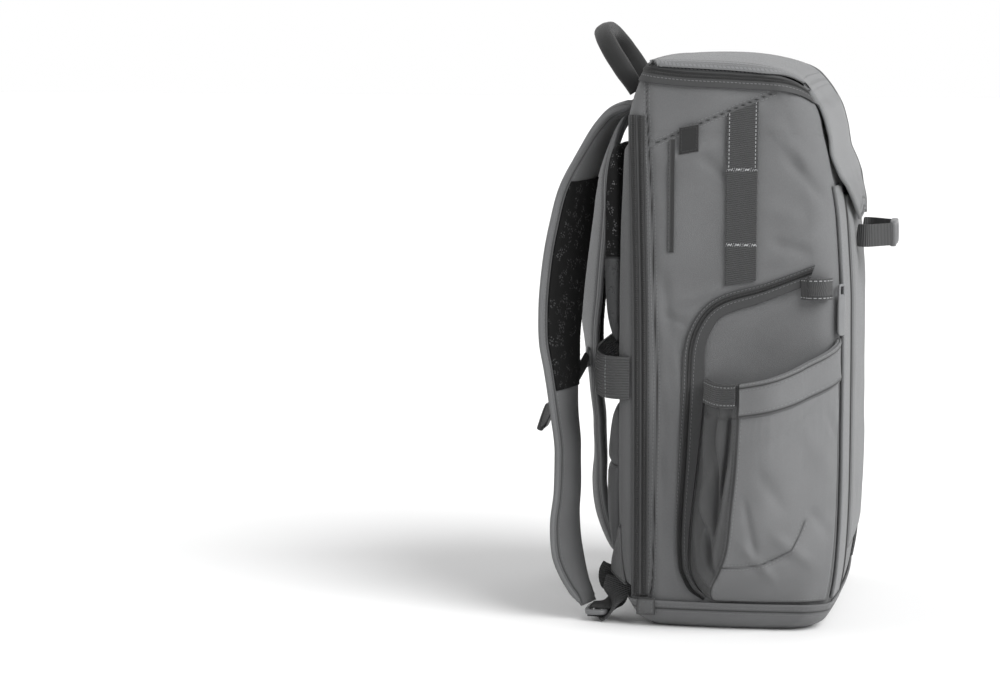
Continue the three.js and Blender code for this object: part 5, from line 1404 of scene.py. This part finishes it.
def make_lower_harness():
    """The wings, adjusters and lower webbing of the straps."""
    lock_x, lock_y, _ = strap_place(0.0, 1.0, 1)
    lock_depth, lock_height, lock_thick, web = 20, 8, 4.5, 25
    lock_y = lock_y - lock_depth / 2 - 2
    back = section(np.array(52.0))[2]
    for side, sign in SIDES:
        x = sign * lock_x
        loop(f"ladder_lock_{side}_frame", [x, lock_y, lock_height], [36, lock_depth], 5,
             GREY_PLASTIC, thick=lock_thick, node=f"ladder_lock_{side}")
        block(f"ladder_lock_{side}_bar", [x, lock_y, lock_height + 0.2], [28, 4.4, 4.0],
              GREY_PLASTIC, power=3)
        over = lock_height + lock_thick / 2 + CLEARANCE + WEB_THICKNESS / 2
        under = lock_height - lock_thick / 2 - CLEARANCE - WEB_THICKNESS / 2
        tip = np.array([x, back + 10, 46])
        strip(f"strap_webbing_{side}_strip", [
            [x, lock_y + lock_depth * 0.3, over],
            [x, lock_y - lock_depth * 0.3, over + 1],
            [x, lock_y - lock_depth * 0.8, over + 9],
            [x, tip[1] - 1, tip[2] - 9],
            [x, tip[1] - 4, tip[2] - 2],
        ], turning([1, 0, 0], [0.2 * sign, 0.72, 0.66], 60), web, WEB_THICKNESS, 60,
            BLACK_WEBBING, f"strap_webbing_{side}")
        # The free end stays level under the adjuster, then lifts and turns.
        level = np.tile([[1.0, 0, 0]], (24, 1))
        strip(f"webbing_tail_{side}_strip", [
            [x, lock_y + lock_depth * 0.3, under],
            [x + sign * 3, lock_y - lock_depth * 0.35, under + 0.5],
            [x + sign * 7, lock_y - lock_depth * 0.6, 9],
            [x + sign * 8, lock_y - lock_depth * 0.75, 20],
            [x + sign * 4, lock_y - lock_depth, 36],
        ], np.concatenate([level, turning([1, 0, 0], [0.1 * sign, 0.98, 0.1], 46)]), web,
            WEB_THICKNESS, 70, DARK_WEBBING, f"webbing_tail_{side}")

        def wing(u, v):
            root_z = mix(34, 84, u)
            root = skin(1.5 + 0 * u, root_z)
            start = np.stack([sign * (root[..., 0] - 2), root[..., 1] + 3, root_z], -1)
            end = np.stack([x + sign * (4 - 8 * u), tip[1] + 0 * u, tip[2] + 10 * (u - 0.5)], -1)
            return start + (end - start) * v[..., None]

        def wing_values(u, v, outer):
            edge = np.minimum(u, 1 - u) * mix(50, 10, v)
            return {"seam": abs(edge - 2), "run": v * 30, "tone": 0.9 + 0 * u}
        laid(f"lower_wing_{side}_cloth", wing, np.linspace(0, 1, 33), np.linspace(0, 1, 33),
             lambda u, v: -1 + 1.2 * np.sin(u * math.pi) * np.sin(v * math.pi), 2.0,
             DARK_FABRIC, layers=wing_values, slot="dark_fabric",
             replaces=[f"lower_wing_{side}"])


def make_sternum_strap():
    """The chest strap: a slider on each shoulder strap, webbing, and a buckle."""
    web, middle_y, height = 20, BACK_REACH + 80, 156
    slide_at = 0.62
    for side, sign in SIDES:
        half = web / BODY_HEIGHT * 0.45
        u, v = np.meshgrid(np.linspace(0.5, 0.86, 3), np.linspace(slide_at - half,
                                                                  slide_at + half, 3))
        patch = strap_place(u, v, sign)
        normal = -strap_normal(patch)[1, 1]
        lengthways = unit(patch[2, 1] - patch[0, 1])
        sideways = unit(np.cross(lengthways, normal))
        centre = patch[1, 1] + normal * (strap_half(0.68) + CLEARANCE + 1.4)
        loop(f"sternum_slider_{side}_ring", centre, [18, 13], 3.4, GREY_PLASTIC,
             [lengthways, sideways, normal], thick=2.8, node=f"sternum_slider_{side}")
        block(f"sternum_slider_{side}_bar", centre, [13, 2.6, 2.4], GREY_PLASTIC,
              [sideways, lengthways, normal], power=3)
        edge = strap_place(np.array([[0.95, 1.0], [0.95, 1.0]]),
                           np.array([[0.615, 0.615], [0.625, 0.625]]), sign)
        start = edge[0, 0] + normal * (strap_half(0.95) + 3.9)
        strip(f"sternum_strap_{side}_strip", [
            start,
            [sign * 38, middle_y - 10, height + 12],
            [sign * (web + CLEARANCE), middle_y, height],
        ], [0, -0.33, 0.94], web, WEB_THICKNESS, 50, BLACK_WEBBING, f"sternum_strap_{side}")
    lean = [[1, 0, 0], [0, -0.33, 0.94], [0, 0.94, 0.33]]
    centre = np.array([0, middle_y, height])
    block("sternum_buckle_body", centre, [24, 23, 8], BLACK_PLASTIC, lean, power=4,
          node="sternum_buckle")
    for side, sign in SIDES:
        loop(f"sternum_buckle_{side}_loop", centre + [sign * 13, 0, 0], [14, 25], 4,
             BLACK_PLASTIC, lean, thick=5.5)


def make_front_strap():
    """The front strap: webbing loops from the panel to a side-release buckle."""
    web, z, length = 19, 320, 40
    end_y = -(FRONT_REACH + 30)
    for side, sign in SIDES:
        root = on_front(np.array(sign * 40.0), np.array(float(z)),
                        np.array(FRONT_PANEL_THICKNESS + CLEARANCE * 2))
        inset = sign * length * 0.5
        strip(f"front_strap_{side}_strip", [
            root,
            [root[0] + sign * 1.5, mix(root[1], end_y, 0.3), z],
            [mix(root[0], inset, 0.6), mix(root[1], end_y, 0.75), z],
            [inset + sign * CLEARANCE, end_y, z],
        ], [0, 0, 1], web, WEB_THICKNESS, 50, DARK_WEBBING, f"front_strap_{side}")
    face = [[1, 0, 0], [0, 0, 1], [0, 1, 0]]
    centre = np.array([0, end_y, z])
    block("front_buckle_body", centre, [22, 20, 8], GREY_PLASTIC, face, power=4,
          node="front_buckle")
    for side, sign in SIDES:
        loop(f"front_buckle_{side}_loop", centre + [sign * 14, 0, 0], [12, 22], 3.6,
             GREY_PLASTIC, face, thick=5.5)
        block(f"front_buckle_{side}_latch", centre + [sign * 7, 0, 9.6], [12, 3.6, 6],
              GREY_PLASTIC, face, power=3)


def make_side_strap():
    """The buckled strap of the wearer's right side, laid over the upright webbing."""
    z0, front, rear = 324, -62, 40
    length = rear - front
    lift = CLEARANCE * 2 + WEB_THICKNESS

    def place(u, z):
        return on_side(mix(rear, front, u), z, 0 * u, 1.0)

    def values(u, z, outer):
        edges = abs(abs(z - z0) - 10.8)
        ends = np.minimum(u, 1 - u) * length
        return {"seam": np.minimum(edges + 6 * smooth(16, 17, ends), abs(ends - 14)),
                "run": u * length + z}
    laid("side_strap_right_strip", place, np.linspace(0, 1, 120), np.linspace(311.5, 336.5, 30),
         lift, 1.5, GREY_WEBBING, layers=values, slot="webbing", replaces=["side_strap_right"])
    seat = on_side(np.array(-11.0), np.array(324.0), np.array(lift + WEB_THICKNESS + CLEARANCE),
                   1.0)
    face = [[0, 1, 0], [0, 0, 1], [1, 0, 0]]
    x = seat[0] + 3.6
    block("side_buckle_right_body", [x, -15, z0], [34, 29, 7.4], BLACK_PLASTIC, face, power=4.5,
          node="side_buckle_right")
    for end, y, run, bar in (("rear", 9, 17, 4), ("front", -34, 11, 3.6)):
        loop(f"side_buckle_right_{end}_loop", [x, y, z0], [run, 31], bar, BLACK_PLASTIC, face,
             thick=5.5)
    for k in (-1, 0, 1):
        block(f"side_buckle_right_prong_{k + 2}", [x + 0.6, -7 + (k == 0) * -3, z0 + k * 9.5],
              [26, 4.2, 6.2], BLACK_PLASTIC, face, power=3)


# The padded handle stands a little lower than its solid and leans back more.
HANDLE_FOOT = 0.918
HANDLE_RISE = 49
HANDLE_LEAN = 34


def make_handle():
    """The haul handle: a superellipse carried along a leaning arch over the back edge, drawn in
    at its feet and made uneven by soft waves."""
    foot = BODY_HEIGHT * HANDLE_FOOT
    back = section(np.array(foot))[2]
    lean = math.tan(math.radians(HANDLE_LEAN))
    seat, half = back + 7.1, HANDLE_SPAN / 2

    def at(share, rise):
        return [half * share, seat + HANDLE_RISE * rise * lean, foot + HANDLE_RISE * rise]
    path = spline([at(-1, 0), at(-1, 0.4), at(-0.88, 0.76), at(-0.5, 0.97), at(0, 1),
                   at(0.5, 0.97), at(0.88, 0.76), at(1, 0.4), at(1, 0)], 150)
    ring, step = np.arange(150), np.arange(40)
    girth = 1 - 0.12 * smooth(18, 0, np.minimum(ring, 149 - ring))
    rings = carried(path, outline(16, 14, 2.4, 40), [0, -math.cos(math.radians(HANDLE_LEAN)),
                                                     math.sin(math.radians(HANDLE_LEAN))], girth)
    bumps = 0.35 * ripple(step[None] * 3.0, ring[:, None] * 1.0, 61, 22)
    rings = rings + unit(rings - path[:, None]) * bumps[..., None]
    tube("haul_handle_pad", rings, BLACK_FABRIC, slot="mesh_cloth", replaces=["haul_handle"])


BAND_POWER = 0.72


def make_luggage_band():
    """The luggage band: a loop behind the back whose reach and spread follow powers of the
    cosine and sine."""
    low = np.array(float(BAND_BOTTOM))
    start = parting(low) + REAR_ZIP_WIDTH / 2 + 2.6
    root_x = on_side(start, low, np.array(CLEARANCE), 1.0)[0]
    reach = section(low)[2] + BAND_REACH - start
    t = np.linspace(-1, 1, 181)
    t = np.sign(t) * (1 - (1 - abs(t)) ** 1.4)
    u, z = np.meshgrid(t * math.pi / 2, np.linspace(BAND_BOTTOM, BAND_BOTTOM + BAND_HEIGHT, 25))
    out = np.sign(u) * abs(np.sin(u)) ** BAND_POWER
    behind = np.maximum(np.cos(u), 0) ** BAND_POWER
    bow = 1.4 * np.sin((z - BAND_BOTTOM) / BAND_HEIGHT * math.pi) * behind

    def rows(off):
        return np.stack([out * (root_x + off), start + (reach + off) * behind + bow, z], -1)
    outer, inner = rows(2.0), rows(0.0)
    edge = np.minimum(z - BAND_BOTTOM, BAND_BOTTOM + BAND_HEIGHT - z)
    run = arc(outer, 1)
    half = run[:, -1:] / 2
    ends = abs(abs(run - half) - half + 24)
    cloth("luggage_band_strip", outer, inner, BAND_RIBS,
          {"seam": np.minimum(abs(edge - 2.5) + 2, ends), "run": z + run},
          slot="webbing", replaces=["luggage_band"])


def make_pulls():
    """Web loops, zip pullers and the lid's puller."""
    top = BODY_HEIGHT * 0.6
    seam = skin(3 + GUSSET_SEAM_TURN, top)[1]
    for side, sign in SIDES:
        def place(u, v):
            bow = 7 * np.sin(math.pi * np.clip(v, 0, 1))
            return on_side(mix(seam + 27, seam + 9, v), top - 4 + u * 8.5, bow, sign)
        laid(f"web_loop_{side}_strip", place, np.linspace(-1, 1, 21), np.linspace(0, 1, 60),
             CLEARANCE * 2 + 1.6, WEB_THICKNESS, DARK_WEBBING,
             layers=lambda u, v, o: {"seam": abs(abs(u) - 0.82) * 8.5, "run": v * 30},
             slot="webbing", replaces=[f"web_loop_{side}"])
        y, z = seam + 1, top - 22
        off = CLEARANCE * 2 + 1.4 + 1.2
        spot = on_side(np.array(y), np.array(z), np.array(off), sign)
        face = unit((spot - on_side(np.array(y), np.array(z), np.array(0.0), sign))
                    * np.array([1, 1, 0]))
        axes = [[0, 0, 1], np.cross([0, 0, 1], face), face]
        block(f"door_puller_{side}_bar", spot + [0, 0, -4], [34, 8.6, 2.6], PALE_PLASTIC, axes,
              power=4, node=f"door_puller_{side}")
        loop(f"door_puller_{side}_eye", spot + [0, 0, 15], [13, 8.6], 2.2, PALE_PLASTIC, axes,
             thick=2.2)
    for name, back, z, length, width, under, finish in (
        ("rear_puller_large", 3, 58, 48, 12, 2.1, GREY_PLASTIC),
        ("rear_puller_small", -6, 18, 20, 7, 4.9, BLACK_PLASTIC),
    ):
        y = parting(np.array(float(z))) + back
        spot = on_side(y - width / 2, np.array(z + length / 2), np.array(under + 1.7), 1.0)
        spot = np.array([spot[0], y, z])
        axes = [[0, 0, 1], [0, 1, 0], [1, 0, 0]]
        block(f"{name}_bar", spot + [0, 0, -length * 0.14], [length * 0.72, width, 2.6], finish,
              axes, power=4, node=name)
        loop(f"{name}_eye", spot + [0, 0, length * 0.33], [length * 0.34, width], 2.2, finish,
             axes, thick=2.2)
    hang = rim_height(np.array(0.5)) - LID_BAND_HEIGHT - 10
    spot = np.array([-HANDLE_SPAN / 2 - 22, section(hang)[2] + 2.0, hang])
    block("lid_puller_bar", spot, [16, 7, 2.6], BLACK_PLASTIC,
          [[0, 0, 1], [1, 0, 0], [0, 1, 0]], power=3.5, node="lid_puller")


# ---------------------------------------------------------------- cushions
NO_SEAM = [[(-900, 0), (-890, 0)]]
LUMBAR_SEAMS = [[(-107, 128), (107, 128)], [(-36, 40), (-36, 190)], [(36, 40), (36, 190)]]


def pad_start(low, high, thick_of, inset):
    """A closed slab in metres whose outer face is bowed by thick_of(across, up)."""
    a, b = np.meshgrid(np.linspace(0, 1, 40), np.linspace(0, 1, 50))
    x, z = mix(low[0] + inset, high[0] - inset, a), mix(low[2] + inset, high[2] - inset, b)
    seat = np.full_like(x, low[1] + 0.4)
    outer = np.stack([x, seat + thick_of(a, b), z], -1)
    return outer, np.stack([x, seat, z], -1)


def swell(piece, pressure, cap):
    """Remeshes the pad, blows it up as cloth under pressure without gravity, keeps each point
    within cap millimetres of its start, and smooths the result."""
    scene, frames = bpy.context.scene, 20
    bpy.context.view_layer.objects.active = piece
    remesh = piece.modifiers.new("remesh", "REMESH")
    remesh.mode, remesh.voxel_size = "VOXEL", 0.0045
    bpy.ops.object.modifier_apply(modifier="remesh")
    mesh = piece.data
    start = np.empty(len(mesh.vertices) * 3, np.float32)
    mesh.vertices.foreach_get("co", start)
    back = start.reshape(-1, 3)[:, 1].min() + 0.0015
    pins = piece.vertex_groups.new(name="sewn")
    low = np.nonzero(start.reshape(-1, 3)[:, 1] < back)[0]
    pins.add(low.tolist(), 1.0, "REPLACE")
    puff = piece.modifiers.new("puff", "CLOTH")
    puff.settings.use_pressure = True
    puff.settings.uniform_pressure_force = pressure
    puff.settings.effector_weights.gravity = 0
    puff.settings.vertex_group_mass = "sewn"
    puff.settings.quality = 5
    puff.point_cache.frame_start, puff.point_cache.frame_end = 1, frames
    for frame_number in range(1, frames + 1):
        scene.frame_set(frame_number)
    shape = piece.evaluated_get(bpy.context.evaluated_depsgraph_get())
    moved = np.empty_like(start)
    shape.data.vertices.foreach_get("co", moved)
    piece.modifiers.remove(puff)
    scene.frame_set(1)
    shift = (moved - start).reshape(-1, 3)
    length = np.linalg.norm(shift, axis=1, keepdims=True)
    shift *= np.minimum(1, cap * MM / np.maximum(length, 1e-9))
    end = start.reshape(-1, 3) + shift
    mesh.vertices.foreach_set("co", end.astype(np.float32).ravel())
    mesh.update()
    settle = piece.modifiers.new("settle", "SMOOTH")
    settle.iterations, settle.factor = 4, 0.5
    bpy.ops.object.modifier_apply(modifier="settle")


def quilt(piece, lines, depth, width, keep):
    """Presses seam lines into a pad's outer face, and holds it inside a box."""
    mesh = piece.data
    co = np.empty(len(mesh.vertices) * 3, np.float32)
    mesh.vertices.foreach_get("co", co)
    co = co.reshape(-1, 3) / MM
    seam, run = seam_lines(co[:, 0], co[:, 2], lines)
    front = smooth(keep[0][1] + 3, keep[0][1] + 8, co[:, 1])
    co[:, 1] -= depth * bell(seam, 0, width) * front
    co = np.clip(co, keep[0], keep[1])
    mesh.vertices.foreach_set("co", (co * MM).astype(np.float32).ravel())
    for key, value in (("tone", np.ones(len(co))), ("seam", np.where(front > 0.5, seam, 99.0)),
                       ("run", run)):
        if key in mesh.attributes:
            mesh.attributes.remove(mesh.attributes[key])
        data = mesh.attributes.new(key, "FLOAT", "POINT").data
        data.foreach_set("value", value.astype(np.float32))
    uv = mesh.uv_layers.get("cloth") or mesh.uv_layers.new(name="cloth")
    corner = np.empty(len(mesh.loops), np.int32)
    mesh.loops.foreach_get("vertex_index", corner)
    uv.data.foreach_set("uv", (co[corner][:, ::2] * MM).astype(np.float32).ravel())
    mesh.polygons.foreach_set("use_smooth", np.ones(len(mesh.polygons), bool))
    mesh.update()


def make_cushions():
    """The back's pads, blown up as cloth from slightly small slabs. A slab's crown is the root
    of 1 less the fourth power across, times the same up the pad, and may thin out upwards."""
    start_depth, crown_depth, power, inset = 2, 15, 4, 3.0
    pressure, most_swell, seam_depth, seam_width = 4.0, 6.0, 3.2, 3.5

    def crown(a, b):
        return (1 - abs(2 * a - 1) ** power) ** 0.5 * (1 - abs(2 * b - 1) ** power) ** 0.5
    for node, thinning, finish, slot, lines in (
        ("upper_cushion_left", 0, CUSHION_MESH, "mesh_cloth", NO_SEAM),
        ("upper_cushion_right", 0, CUSHION_MESH, "mesh_cloth", NO_SEAM),
        ("lumbar_cushion", 0.3, STRAP_FABRIC, "fabric", LUMBAR_SEAMS),
    ):
        low, high = (np.array(corner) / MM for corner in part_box(node))
        outer, inner = pad_start(low, high, lambda a, b: start_depth + crown_depth * (
            crown(a, b) * (1 - thinning * b * b)), inset)
        pad = cloth(f"{node}_pad", outer, inner, finish, slot=slot, replaces=[node])
        swell(pad, pressure, most_swell)
        quilt(pad, lines, seam_depth, seam_width, (low + [0, 0.1, 0], high + [0, 2.0, 0]))


make_body_shell()
make_base_panel()
make_back_panel()
make_rear_zips()
make_top_lid()
make_lid_zip()
make_front_panel()
make_front_trims()
make_side_doors()
make_pockets()
make_side_trims()
make_shoulder_straps()
make_lower_harness()
make_sternum_strap()
make_front_strap()
make_side_strap()
make_handle()
make_luggage_band()
make_pulls()
make_cushions()


# ---------------------------------------------------------------- studio
ROOM_LIGHT = 0.36
FLOOR_REACH = 12.0
CAMERA_AZIMUTH, CAMERA_ELEVATION, CAMERA_DISTANCE = 275.5, 6.5, 2.7
CAMERA_CENTRE = Vector((0, 0, 0.224))
CAMERA_AIM = Vector((-0.0205, 0.213, 0.2145))


def make_floor():
    """A pale floor, far larger than the bag."""
    f = Finish("studio_floor")
    cloud = f.noise(3.0, 2.0)
    finish = f.done(f.shaded((0.9, 0.9, 0.9, 1.0), 0.99 + cloud * 0.02), cloud, 0.05, 0.9)
    mesh = bpy.data.meshes.new("studio_floor")
    corners = ((-1, -1), (1, -1), (1, 1), (-1, 1))
    mesh.from_pydata([(FLOOR_REACH * x, FLOOR_REACH * y, 0) for x, y in corners], [],
                     [(0, 1, 2, 3)])
    mesh.materials.append(finish)
    floor = bpy.data.objects.new("studio_floor", mesh)
    floor.location.z = -0.0004
    bpy.context.scene.collection.objects.link(floor)


def soft_sun(name, towards, strength, angle):
    """A sun whose light comes from the given direction, softened over the given angle."""
    lamp = bpy.data.lights.new(name, "SUN")
    lamp.energy, lamp.angle = strength, math.radians(angle)
    holder = bpy.data.objects.new(name, lamp)
    holder.rotation_euler = Vector(towards).to_track_quat("Z", "Y").to_euler()
    bpy.context.scene.collection.objects.link(holder)


def make_studio():
    """A white room, a wide key light from the bag's front left, and weak ones from behind and
    from the right."""
    make_floor()
    world = bpy.data.worlds.new("studio")
    bpy.context.scene.world = world
    world.use_nodes = True
    tree = world.node_tree
    shade = tree.nodes["Background"]
    seen = tree.nodes.new("ShaderNodeLightPath")
    strength = tree.nodes.new("ShaderNodeMapRange")
    strength.inputs["To Min"].default_value = ROOM_LIGHT
    strength.inputs["To Max"].default_value = 1.0
    tree.links.new(seen.outputs["Is Camera Ray"], strength.inputs["Value"])
    tree.links.new(strength.outputs["Result"], shade.inputs["Strength"])
    shade.inputs["Color"].default_value = (1.0, 1.0, 1.0, 1.0)
    soft_sun("key", (-0.4, -0.7, 0.62), 3.6, 48)
    soft_sun("rear_fill", (0.1, 0.8, 0.6), 1.1, 80)
    soft_sun("right_fill", (0.9, -0.2, 0.4), 0.7, 60)


def make_camera():
    """A long lens from the wearer's left, a little above and a little in front."""
    azimuth, elevation = math.radians(CAMERA_AZIMUTH), math.radians(CAMERA_ELEVATION)
    back = Vector((math.sin(azimuth) * math.cos(elevation),
                   -math.cos(azimuth) * math.cos(elevation), math.sin(elevation)))
    place = CAMERA_CENTRE + back * CAMERA_DISTANCE
    lens = bpy.data.cameras.new("photo_camera")
    lens.lens, lens.sensor_width = 112.5, 36.0
    camera = bpy.data.objects.new("photo_camera", lens)
    camera.location = place
    camera.rotation_euler = (CAMERA_AIM - place).to_track_quat("-Z", "Y").to_euler()
    bpy.context.scene.collection.objects.link(camera)
    bpy.context.scene.camera = camera
    bpy.context.scene.view_settings.view_transform = "Standard"


make_studio()
make_camera()
